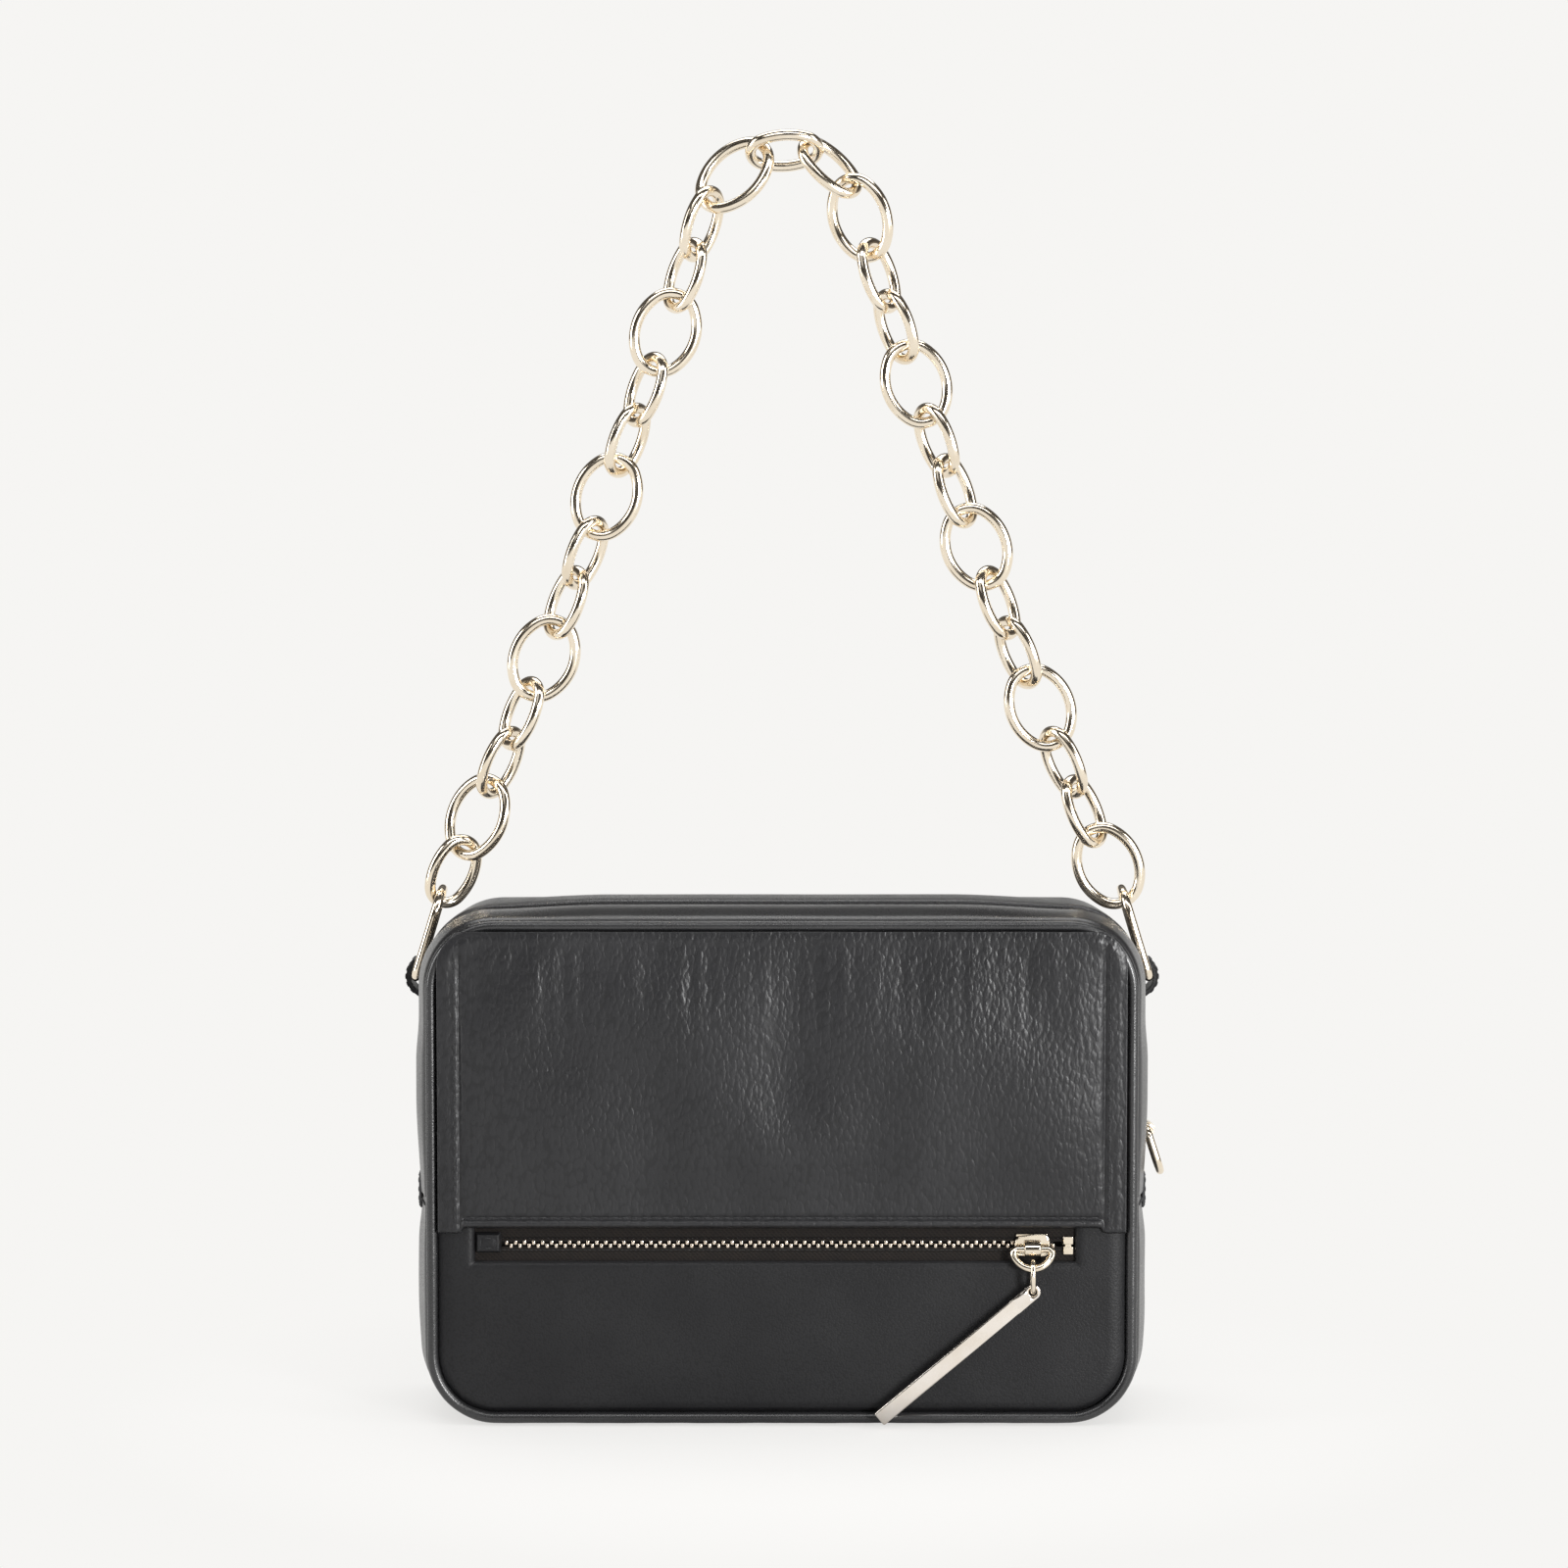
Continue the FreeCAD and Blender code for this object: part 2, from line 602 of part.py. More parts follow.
def make_bow_ring(label, wire, radius, corner):
    """Ring in the XZ plane: bar along X through the origin, half circle below it."""
    body = new_body(label)
    path = new_sketch(body, label + "_path", "XZ_Plane")
    big, q = value(radius), value(corner)
    reach = math.sqrt(big * big - 2 * big * q)
    lean = math.atan2(q, reach)
    quarter = math.pi / 2
    first = add_line(path, 0, 0, -reach, 0)
    add_arc(path, -reach, -q, q, quarter, 2 * quarter + lean)
    bow = add_arc(path, 0, 0, big, 2 * quarter + lean, 4 * quarter - lean)
    add_arc(path, reach, -q, q, -lean, quarter)
    last = add_line(path, reach, 0, 0, 0)
    chain_tangent(path, first, last)
    hold(path, "Coincident", first, 1, -1, 1)
    hold(path, "Coincident", last, 2, first, 1)
    for item in (first, last):
        hold(path, "Horizontal", item)
    hold(path, "Equal", first + 1, first + 3)
    hold(path, "Coincident", bow, 3, -1, 1)
    drive(path, "corner", corner, "Radius", first + 1)
    drive(path, "bow", radius, "Radius", bow)
    section = new_sketch(body, label + "_section", "YZ_Plane")
    add_circle(section, "wire", None, None, f"{wire} / 2")
    add_sweep(body, label + "_sweep", section, path)
    return finish(body, label)


def make_oval(label, wire, length, width, end):
    """Oval ring in the XZ plane, long way up, of four tangent arcs."""
    body = new_body(label)
    path = new_sketch(body, label + "_path", "XZ_Plane")
    a = value(f"({length} - {wire}) / 2")
    b = value(f"({width} - {wire}) / 2")
    r = value(end)
    side = ((a - r) ** 2 + b * b - r * r) / (2 * (b - r))
    turn = math.atan2(a - r, side - b)
    half_turn = math.pi
    first = add_arc(path, b - side, 0, side, 0, turn)
    top = add_arc(path, 0, a - r, r, turn, half_turn - turn)
    far = add_arc(path, side - b, 0, side, half_turn - turn, half_turn + turn)
    low = add_arc(path, 0, r - a, r, half_turn + turn, 2 * half_turn - turn)
    last = add_arc(path, b - side, 0, side, -turn, 0)
    chain_tangent(path, first, last)
    hold(path, "Tangent", last, 2, first, 1)
    hold(path, "Equal", first, last)
    hold(path, "Equal", first, far)
    hold(path, "Equal", top, low)
    hold(path, "PointOnObject", first, 1, -1)
    hold(path, "PointOnObject", first, 3, -1)
    hold(path, "PointOnObject", top, 3, -2)
    hold(path, "PointOnObject", low, 3, -2)
    drive(path, "end", end, "Radius", top)
    drive(path, "half_width", f"({width} - {wire}) / 2", "DistanceX", -1, 1, first, 1)
    drive(path, "centres", f"{length} - {wire} - 2 * {end}", "DistanceY", low, 3, top, 3)
    section = new_sketch(body, label + "_section", "XY_Plane")
    add_circle(section, "wire", f"({width} - {wire}) / 2", None, f"{wire} / 2")
    add_sweep(body, label + "_sweep", section, path)
    return body


# Main zip: slider on the right side, ring pull, leather tabs over the zip ends
main_slider = make_slider("main_zip_slider", "Bag.main_pull_wire", "Y", "0")
place(main_slider, f"{HALF_WIDTH} - {TAPE_MID}", "0", "Bag.main_slider_height", FreeCAD.Rotation(Y_AXIS, 90))
main_pull = make_d_ring("main_zip_pull", "Bag.main_pull_wire",
                        "((Bag.main_pull_width - Bag.main_pull_wire) / 2)",
                        "Bag.main_pull_wire", "Bag.main_pull_reach")
place(main_pull, f"{HALF_WIDTH} - {TAPE_MID} + {pull_height('Bag.main_pull_wire')}", "0",
      "Bag.main_slider_height", FreeCAD.Rotation(Y_AXIS, 180 - size("main_pull_tilt")))
for side, x0, x1 in (("left", f"-{HALF_WIDTH} - Bag.end_tab_thick", f"-{HALF_WIDTH}"),
                     ("right", HALF_WIDTH, f"{HALF_WIDTH} + Bag.end_tab_thick")):
    finish(block(f"main_zip_end_tab_{side}", x0, x1, "-Bag.end_tab_wide / 2", "Bag.end_tab_wide / 2",
                 "Bag.zip_end - Bag.end_tab_tall / 2", "Bag.zip_end + Bag.end_tab_tall / 2"),
           f"main_zip_end_tab_{side}")

# Pocket zip: slider, stop and leather tab on the tape
pocket_mid = f"(-{PANEL_IN} + Bag.tape_thick / 2)"
crown_drop = "(-0.9)"
pocket_slider = make_slider("pocket_zip_slider", "Bag.pull_ring_wire", "X", crown_drop)
place(pocket_slider, "Bag.pocket_slider_x", pocket_mid, "Bag.pocket_zip_height", FreeCAD.Rotation(X_AXIS, 90))
tape_face = f"-{PANEL_IN}"
finish(block("pocket_zip_stop", "Bag.pocket_stop_x - Bag.pocket_stop_wide / 2",
             "Bag.pocket_stop_x + Bag.pocket_stop_wide / 2",
             f"{tape_face} - Bag.tooth_deep / 2 + 0.3", tape_face,
             "Bag.pocket_zip_height - 4", "Bag.pocket_zip_height + 4"), "pocket_zip_stop")
finish(block("pocket_zip_end_tab", "-Bag.pocket_left + 2", "-Bag.pocket_left + 2 + Bag.pocket_tab_wide",
             f"{tape_face} - Bag.pocket_tab_thick", tape_face,
             "Bag.pocket_zip_height + 0.7 - Bag.pocket_tab_tall / 2",
             "Bag.pocket_zip_height + 0.7 + Bag.pocket_tab_tall / 2"), "pocket_zip_end_tab")

# Pocket pull: bow ring under the crown, edge-on link, long square bar
ring_y = f"({pocket_mid} - {pull_height('Bag.pull_ring_wire')})"
ring_z = f"(Bag.pocket_zip_height + {crown_drop})"
pull_ring = make_bow_ring("pocket_pull_ring", "Bag.pull_ring_wire", "Bag.pull_ring_radius",
                          "Bag.pull_ring_corner")
place(pull_ring, "Bag.pocket_slider_x", ring_y, ring_z, FreeCAD.Rotation(X_AXIS, -size("pull_ring_tilt")))

tilt = math.radians(size("pull_ring_tilt"))
link_half = (size("pull_link_length") - size("pull_link_wire")) / 2
link_x = size("pocket_slider_x")
link_y = value(ring_y) - size("pull_ring_radius") * math.sin(tilt)
link_top = value(ring_z) - size("pull_ring_radius") * math.cos(tilt)
link_top = link_top + (size("pull_ring_wire") + size("pull_link_wire")) / 2 + size("pull_link_play")
eye_z = link_top - 2 * link_half
pull_link = make_oval("pocket_pull_link", "Bag.pull_link_wire", "Bag.pull_link_length", "Bag.pull_link_width",
                      "Bag.pull_link_end")
pull_link.Placement = FreeCAD.Placement(FreeCAD.Vector(link_x, link_y, link_top - link_half),
                                        FreeCAD.Rotation(Z_AXIS, 90))
finish(pull_link, "pocket_pull_link")

eye_radius = "(Bag.pull_link_wire / 2 + Bag.pull_eye_play)"
bar_half = "(Bag.pull_bar_wide / 2)"
bar_body = block("pull_bar_stick", "Bag.pull_eye_long", "Bag.pull_bar_length", "-Bag.pull_bar_deep / 2",
                 "Bag.pull_bar_deep / 2", f"-{bar_half}", bar_half)
bar_tongue = block("pull_bar_tongue", "0", "Bag.pull_eye_long + 0.5", "-Bag.pull_eye_deep / 2",
                   "Bag.pull_eye_deep / 2", f"-{bar_half}", bar_half)
across_y = FreeCAD.Rotation(X_AXIS, -90)
bar_round = rod("pull_bar_round", bar_half, "Bag.pull_eye_deep", across_y, y="-Bag.pull_eye_deep / 2")
bar_eye = rod("pull_bar_eye", eye_radius, "Bag.pull_eye_deep + 2", across_y, y="-Bag.pull_eye_deep / 2 - 1")
pull_bar = join("Cut", "pocket_pull_bar", fuse("pull_bar_solid", [bar_body, bar_tongue, bar_round]), bar_eye)
pull_bar.Placement = FreeCAD.Placement(FreeCAD.Vector(link_x, link_y, eye_z),
                                       FreeCAD.Rotation(Y_AXIS, 180 - size("pull_bar_angle")))
finish(pull_bar, "pocket_pull_bar")

# Strap loops: half-round leather strips on the sides, with a ring in each
RING_HALF = "(Bag.loop_wide / 2 + Bag.ring_side_play + Bag.ring_wire / 2)"


def make_loop(label, hand):
    body = new_body(label)
    outline = new_sketch(body, label + "_outline", "XZ_Plane")
    inner, outer = size("loop_inner"), size("loop_inner") + size("loop_leather")
    quarter = math.pi / 2
    start = -quarter if hand > 0 else quarter
    outside = add_arc(outline, 0, 0, outer, start, start + 2 * quarter)
    inside = add_arc(outline, 0, 0, inner, start, start + 2 * quarter)
    near = add_line(outline, 0, -hand * outer, 0, -hand * inner)
    far = add_line(outline, 0, hand * inner, 0, hand * outer)
    for item in (outside, inside):
        hold(outline, "Coincident", item, 3, -1, 1)
    hold(outline, "Coincident", outside, 1, near, 1)
    hold(outline, "Coincident", inside, 1, near, 2)
    hold(outline, "Coincident", inside, 2, far, 1)
    hold(outline, "Coincident", outside, 2, far, 2)
    for item in (near, far):
        hold(outline, "PointOnObject", item, 1, -2)
        hold(outline, "PointOnObject", item, 2, -2)
    drive(outline, "inner", "Bag.loop_inner", "Radius", inside)
    drive(outline, "outer", "Bag.loop_inner + Bag.loop_leather", "Radius", outside)
    add_pad(body, label + "_pad", outline, "Bag.loop_wide")
    place(body, f"{hand} * {HALF_WIDTH}", "Bag.strap_depth + Bag.loop_wide / 2", "Bag.loop_height")
    return finish(body, label)


def ring_lean():
    """Inward tip of a ring, no further than clear of the bag's rounded corner."""
    across = size("ring_offset") + size("corner_radius")
    above_loop = size("body_height") - size("corner_radius") - size("loop_height")
    reach = size("corner_radius") + size("ring_wire") / 2 + size("ring_clearance")
    grazing = math.atan2(across, above_loop) - math.asin(reach / math.hypot(across, above_loop))
    return min(size("ring_lean"), math.degrees(grazing))


for side, hand in (("left", -1), ("right", 1)):
    make_loop(f"side_loop_{side}", hand)
    ring = make_d_ring(f"d_ring_{side}", "Bag.ring_wire", RING_HALF, "Bag.ring_corner", "Bag.ring_reach")
    place(ring, f"{hand} * ({HALF_WIDTH} + Bag.ring_offset)", "Bag.strap_depth", "Bag.loop_height",
          FreeCAD.Rotation(Y_AXIS, -hand * ring_lean()))

# Strap: oval links, one big and two small in turn, hung between the two rings
LEFT_LINKS = "s b s s b s s b s s b s s b".split()
RIGHT_LINKS = "b s s b s s b s s b s s b s".split()
BIG_TWIST = 5
SMALL_TWIST = 52
SET_TWIST = {
    "link_left_01": 25,
    "link_left_02": -30,
    "link_left_14": -35,
    "link_top": 45,
    "link_right_14": 50,
    "link_right_13": -30,
}
PITCH = {
    "b": size("big_length") - 2 * size("link_wire") - size("link_gap"),
    "s": size("small_length") - 2 * size("link_wire") - size("link_gap"),
}


def ring_grip(hand):
    """Point midway between the wire of a ring's crest and the wire of the first link."""
    lean = math.radians(ring_lean())
    x = hand * (size("body_width") / 2 + size("ring_offset"))
    crest = FreeCAD.Vector(x - hand * size("ring_reach") * math.sin(lean), size("strap_depth"),
                           size("loop_height") + size("ring_reach") * math.cos(lean))
    drop = ((size("ring_wire") + size("link_wire")) / 2 + size("link_gap")) / 2
    return FreeCAD.Vector(crest.x, crest.y, crest.z - drop)


def strap_run(hand, kinds, lean):
    """Joint points and headings of one side, from its ring up to the top link."""
    points = [ring_grip(hand)]
    headings = []
    last = len(kinds) - 1
    for index, kind in enumerate(kinds):
        bend = size("strap_crest") if index == last else size("strap_bow") * (1 - 2 * index / (last - 1))
        heading = math.radians(lean + bend)
        step = FreeCAD.Vector(-hand * math.sin(heading), 0, math.cos(heading))
        points.append(points[-1] + step * PITCH[kind])
        headings.append(-hand * (lean + bend))
    return points, headings


def strap_lean():
    """Lean at which the two runs end one small link apart, less the slack of the top link."""
    span = PITCH["s"] - size("crest_slack")
    low, high = 0.0, 60.0
    for _ in range(60):
        middle = (low + high) / 2
        left_end = strap_run(-1, LEFT_LINKS, middle)[0][-1]
        right_end = strap_run(1, RIGHT_LINKS, middle)[0][-1]
        if right_end.x - left_end.x > span:
            low = middle
        else:
            high = middle
    return low


def link_twist(side, kinds, index):
    """Turn of a link about its own length: big links face the front, the small ones turn either way."""
    label = f"link_{side}_{index + 1:02d}"
    sign = -1 if kinds[:index + 1].count("b") % 2 else 1
    if label in SET_TWIST:
        return SET_TWIST[label]
    if kinds[index] == "b":
        return sign * BIG_TWIST
    return (-sign if kinds[index - 1] == "b" else sign) * SMALL_TWIST


big_master = make_oval("big_link", "Bag.link_wire", "Bag.big_length", "Bag.big_width", "Bag.big_end")
small_master = make_oval("small_link", "Bag.link_wire", "Bag.small_length", "Bag.small_width",
                         "Bag.small_end")


def add_link(label, kind, start, end, heading, twist):
    body = new_body(label)
    copy = doc.addObject("PartDesign::FeatureBase", label + "_copy")
    copy.BaseFeature = big_master if kind == "b" else small_master
    body.Group = [copy]
    body.Tip = copy
    turn = FreeCAD.Rotation(Y_AXIS, heading).multiply(FreeCAD.Rotation(Z_AXIS, twist))
    body.Placement = FreeCAD.Placement((start + end) * 0.5, turn)
    finish(body, label)
    strap_links.append((label, kind, start, end, heading, twist))


strap_links = []
lean_angle = strap_lean()
run_ends = {}
for side, hand, kinds in (("left", -1, LEFT_LINKS), ("right", 1, RIGHT_LINKS)):
    points, headings = strap_run(hand, kinds, lean_angle)
    run_ends[side] = points[-1]
    for index, kind in enumerate(kinds):
        add_link(f"link_{side}_{index + 1:02d}", kind, points[index], points[index + 1], headings[index],
                 link_twist(side, kinds, index))
top_span = run_ends["right"] - run_ends["left"]
top_heading = 90 - math.degrees(math.atan2(top_span.z, top_span.x))
add_link("link_top", "s", run_ends["left"], run_ends["right"], top_heading, SET_TWIST["link_top"])

# Check every object and write one file for each sub-part
doc.recompute()
for item in doc.Objects:
    if "Invalid" in item.State or "Error" in item.State:
        raise RuntimeError(f"{item.Label}: {item.State}")
for item in subparts:
    if item.Shape.isNull() or not item.Shape.isValid() or not item.Shape.Solids:
        raise RuntimeError(f"{item.Label}: no valid solid")
    item.Shape.exportStep(f"parts/{item.Label}.step")
print(f"wrote {len(subparts)} sub-parts")
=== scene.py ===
import bmesh
import bpy
import math
import numpy as np
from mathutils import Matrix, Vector


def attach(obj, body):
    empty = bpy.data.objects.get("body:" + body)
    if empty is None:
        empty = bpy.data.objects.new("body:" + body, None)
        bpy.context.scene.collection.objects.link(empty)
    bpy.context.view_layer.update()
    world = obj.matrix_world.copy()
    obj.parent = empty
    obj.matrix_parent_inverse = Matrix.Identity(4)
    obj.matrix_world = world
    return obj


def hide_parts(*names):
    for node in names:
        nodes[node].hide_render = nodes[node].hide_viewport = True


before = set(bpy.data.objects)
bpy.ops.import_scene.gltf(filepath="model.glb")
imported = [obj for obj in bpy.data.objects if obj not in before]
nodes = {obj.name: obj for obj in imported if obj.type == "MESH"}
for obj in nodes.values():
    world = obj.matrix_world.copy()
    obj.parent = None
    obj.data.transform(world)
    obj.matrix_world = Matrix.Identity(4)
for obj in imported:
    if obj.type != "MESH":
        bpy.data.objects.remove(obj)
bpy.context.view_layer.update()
scene = bpy.context.scene
scene.view_settings.view_transform = "Standard"
MM = 0.001

# Body, in millimetres: X across, the front towards -Y, Z up from the base
HALF_W, HIGH, CORNER = 112.5, 158.0, 22.0
SIDE, TOP, ARC = HIGH - 2 * CORNER, 2 * (HALF_W - CORNER), CORNER * math.pi / 2
GIRTH = 2 * (SIDE + TOP) + 4 * ARC
SEAM_PULL, SEAM_PULL_FROM = 2.0, 12.0
PIPE_R, PIPE_INSET, PIPE_Y = 1.75, 2.15, 30.75
STRIP_EDGE, STRIP_LIP, STRIP_ROW = 30.2, 5.2, 7.7
SEAM_DIP, SEAM_DIP_FROM, SEAM_DIP_TO = 1.5, 28.6, 30.4
CROWN_RISE = 1.6
PANEL_Y, PANEL_INSET, PANEL_THICK = 31.7, 2.7, 1.4

# Flap: hem, top, half width, radius of the upper corners, half width between the side bands
HEM, FLAP_TOP, FLAP_HALF, FLAP_R, FLAP_BAND = 61.9, 154.4, 106.4, 10.5, 99.6
HEM_ROW, FLAP_Y, FLAP_THICK = 3.4, 33.4, 1.5

# Zips: the main one ends on both sides, and the pocket's slot is given as x, x, z, z
ZIP_END, TEETH_END, ZIP_SINK, TOOTH_PITCH = 71.0, 80.0, 2.1, 1.4
SLOT = (-96.9, 92.4, 51.4, 64.0)
POCKET_Y, POCKET_Z, POCKET_SLIDER_X = -29.4, 56.5, 77.5
POCKET_TAB, POCKET_STOP, MAIN_SLIDER = (-91.0, -29.7, 57.2), (88.7, -30.1, 56.2), (110.4, 0, 88.0)
FRONT_AXES = [(1, 0, 0), (0, 0, 1), (0, -1, 0)]
BAR_PIVOT, BAR_TURN = (77.5, -36.22, 42.731), math.radians(40)

# Pairs of pieces, each with its side of the bag
FACES, SIDES = (("front", -1), ("back", 1)), (("left", -1), ("right", 1))

# Strap loops on the back strip, and the lining
LOOP_X, LOOP_Y, LOOP_Z, LOOP_R = HALF_W - 0.1, 16.0, 134.8, 6.0
LINING_INSET, LINING_FRONT, LINING_BACK, LINING_MOUTH, LINING_LOW = 4.6, -21.5, 27.6, 6.4, 3.75


# Objects
def add_object(name, data):
    """Adds an object to the scene."""
    item = bpy.data.objects.new(name, data)
    scene.collection.objects.link(item)
    return item


def add_mesh(name, verts, faces):
    """Adds a mesh to the scene, in metres."""
    mesh = bpy.data.meshes.new(name)
    mesh.from_pydata([tuple(v) for v in verts], [], [tuple(int(i) for i in f) for f in faces])
    return add_object(name, mesh)


# Camera
camera_data = bpy.data.cameras.new("camera")
camera_data.sensor_width = 36.0
camera_data.lens = 117.8
camera = add_object("camera", camera_data)
camera.location = (0.0006, -1.6, 0.3471)
camera.rotation_euler = (math.radians(90 - 5.36), 0, 0)
scene.camera = camera


# Materials
class Nodes:
    """Short way to add nodes to a material or world tree."""

    def __init__(self, owner):
        owner.use_nodes = True
        self.owner = owner
        self.tree = owner.node_tree
        self.tree.nodes.clear()

    def put(self, value, socket):
        """Links a socket to another one, or sets its value."""
        if isinstance(value, bpy.types.NodeSocket):
            self.tree.links.new(value, socket)
        else:
            socket.default_value = value

    def add(self, kind, settings=None, **inputs):
        """Adds a shader node. An input is named as its socket, with _ for a space."""
        node = self.tree.nodes.new("ShaderNode" + kind)
        for key, value in (settings or {}).items():
            setattr(node, key, value)
        for key, value in inputs.items():
            self.put(value, node.inputs[key.replace("_", " ")])
        return node

    def ramp(self, factor, stops):
        """Colour ramp with stops as pairs of a place and a grey or a colour."""
        node = self.add("ValToRGB", Fac=factor)
        ramp = node.color_ramp
        while len(ramp.elements) < len(stops):
            ramp.elements.new(0.5)
        for element, (place, shade) in zip(ramp.elements, stops):
            element.position = place
            element.color = (*shade, 1) if isinstance(shade, tuple) else (shade, shade, shade, 1)
        return node.outputs["Color"]

    def math(self, operation, a, b):
        node = self.add("Math", {"operation": operation})
        for socket, value in zip(node.inputs, (a, b)):
            self.put(value, socket)
        return node.outputs[0]

    def scaled(self, value, scale, shift):
        """A value times a scale, plus a shift."""
        return self.math("ADD", self.math("MULTIPLY", value, scale), shift)

    def mix(self, factor, a, b):
        """Mix of two colours."""
        node = self.add("Mix", {"data_type": "RGBA"})
        for name, value in (("Factor_Float", factor), ("A_Color", a), ("B_Color", b)):
            self.put(value, next(s for s in node.inputs if s.identifier == name))
        return next(s for s in node.outputs if s.identifier == "Result_Color")

    def blend(self, factor, first, second):
        """Mix of two shaders."""
        node = self.add("MixShader", Fac=factor)
        self.put(first.outputs[0], node.inputs[1])
        self.put(second.outputs[0], node.inputs[2])
        return node

    def coords(self, scale=(1, 1, 1)):
        where = self.add("TexCoord").outputs["Object"]
        return self.add("Mapping", Vector=where, Scale=scale).outputs["Vector"]

    def noise(self, where, scale, detail, output="Fac"):
        return self.add("TexNoise", Vector=where, Scale=scale, Detail=detail).outputs[output]

    def finish(self, shader, kind="OutputMaterial"):
        """Links a shader to the output and gives its owner."""
        self.put(shader.outputs[0], self.add(kind).inputs["Surface"])
        return self.owner


def leather(name, deep, pale, worn, cell, height, rough, shine, stretch=1.0):
    """Leather with a cell grain, fine pores, cloudy tone, painted shade in the grain's valleys, and a paler
    rubbed tone along edges.

    Cell and height are the grain's size and depth in millimetres."""
    net = Nodes(bpy.data.materials.new(name))
    cell *= MM
    where = net.coords((1, 1, stretch))
    warp = net.noise(where, 0.6 / cell, 2.0, "Color")
    shifted = net.add("VectorMath", {"operation": "MULTIPLY_ADD"})
    for socket, value in zip(shifted.inputs, (warp, (cell * 1.2,) * 3, where)):
        net.put(value, socket)
    grain = net.add("TexVoronoi", {"feature": "SMOOTH_F1"}, Vector=shifted.outputs[0],
                    Scale=1 / cell, Smoothness=0.35, Randomness=0.95).outputs["Distance"]
    domes = net.ramp(grain, [(0.05, 1.0), (0.45, 0.62), (0.72, 0.08)])
    pores = net.noise(where, 3.2 / cell, 3.0)
    clouds = net.noise(where, 34.0, 4.0)
    bump = net.add("Bump", Strength=0.85, Distance=height * MM, Height=net.scaled(pores, 0.25, domes))
    tone = net.mix(net.ramp(clouds, [(0.3, 0.0), (0.72, 1.0)]), (*deep, 1), (*pale, 1))
    # Painted shade: the colour is darkened in the grain's valleys, between the domes.
    painted_valley_shade = tuple(part * 0.5 for part in deep)
    tone = net.mix(net.ramp(domes, [(0.0, 0.55), (0.5, 0.0)]), tone, (*painted_valley_shade, 1))
    point = net.add("NewGeometry").outputs["Pointiness"]
    tone = net.mix(net.ramp(point, [(0.53, 0.0), (0.6, 0.6)]), tone, (*worn, 1))
    gloss = net.scaled(domes, -0.12, net.scaled(clouds, 0.16, rough))
    return net.finish(net.add("BsdfPrincipled", Base_Color=tone, Roughness=gloss,
                              Normal=bump.outputs[0], Specular_IOR_Level=shine))


def metal(name, tint, shade, rough):
    """Plated metal with a little tarnish in its tone and hairline marks in its gloss."""
    net = Nodes(bpy.data.materials.new(name))
    mark_depth, mean_gloss = 0.008 * MM, 0.065
    cloud = net.noise(net.coords(), 140.0, 3.0)
    lines = net.noise(net.coords((700, 700, 4200)), 1.0, 2.0)
    tone = net.mix(net.ramp(cloud, [(0.35, 0.0), (0.7, 1.0)]), (*tint, 1), (*shade, 1))
    gloss = net.scaled(lines, 0.07, net.scaled(cloud, 0.06, rough - mean_gloss))
    bump = net.add("Bump", Strength=0.3, Distance=mark_depth, Height=lines)
    return net.finish(net.add("BsdfPrincipled", Base_Color=tone, Roughness=gloss,
                              Normal=bump.outputs[0], Metallic=1.0))


def cloth(name, dark, light, yarn, height, rough=0.8):
    """Woven cloth: two sets of threads crossing, with uneven dye. Yarn and height are in millimetres."""
    net = Nodes(bpy.data.materials.new(name))
    where = net.coords()
    per = math.tau / (20 * yarn * MM)
    first, second = (net.add("TexWave", {"bands_direction": way}, Vector=where, Scale=per,
                             Distortion=0.6, Detail=1.0).outputs["Fac"] for way in ("DIAGONAL", "Z"))
    weave = net.math("MAXIMUM", first, net.math("MULTIPLY", second, 0.8))
    cloud = net.noise(where, 260.0, 4.0)
    tone = net.mix(net.math("MULTIPLY", weave, cloud), (*dark, 1), (*light, 1))
    bump = net.add("Bump", Strength=0.8, Distance=height * MM, Height=weave)
    gloss = net.scaled(cloud, 0.2, rough - 0.1)
    return net.finish(net.add("BsdfPrincipled", Base_Color=tone, Roughness=gloss, Normal=bump.outputs[0],
                              Specular_IOR_Level=0.2, Sheen_Weight=0.08, Sheen_Roughness=0.4))


smooth_leather = leather("smooth_leather", (0.009, 0.009, 0.0099), (0.013, 0.013, 0.0139),
                         worn=(0.05, 0.05, 0.052), cell=0.7, height=0.04, rough=0.4, shine=0.22)
edge_leather = leather("edge_leather", (0.0105, 0.0105, 0.0115), (0.015, 0.015, 0.016),
                       worn=(0.05, 0.05, 0.052), cell=0.6, height=0.02, rough=0.28, shine=0.75)
pebble_leather = leather("pebble_leather", (0.0128, 0.0128, 0.0139), (0.019, 0.019, 0.0204),
                         worn=(0.06, 0.06, 0.062), cell=1.3, height=0.12, rough=0.32, shine=0.32, stretch=0.5)
gold = metal("pale_gold", (0.93, 0.835, 0.69), (0.86, 0.75, 0.59), rough=0.14)
# Painted light: a paler copy of pale_gold, so that the bar renders brighter; its slot stays pale_gold.
bar_gold_painted_paler = metal("bar_gold_painted_paler", (0.948, 0.888, 0.82), (0.877, 0.798, 0.7), rough=0.14)
brass = metal("zip_brass", (0.86, 0.76, 0.65), (0.72, 0.61, 0.5), rough=0.24)
tape_cloth = cloth("zip_tape", (0.004, 0.003, 0.0027), (0.018, 0.0138, 0.011), yarn=0.7, height=0.09)
lining_cloth = cloth("lining_cloth", (0.02, 0.018, 0.017), (0.06, 0.054, 0.05), yarn=0.5, height=0.05)
thread = cloth("thread", (0.012, 0.012, 0.013), (0.05, 0.05, 0.052), yarn=0.45, height=0.05, rough=0.6)
board = cloth("fibre_board", (0.13, 0.1, 0.075), (0.24, 0.2, 0.155), yarn=1.3, height=0.05, rough=0.9)


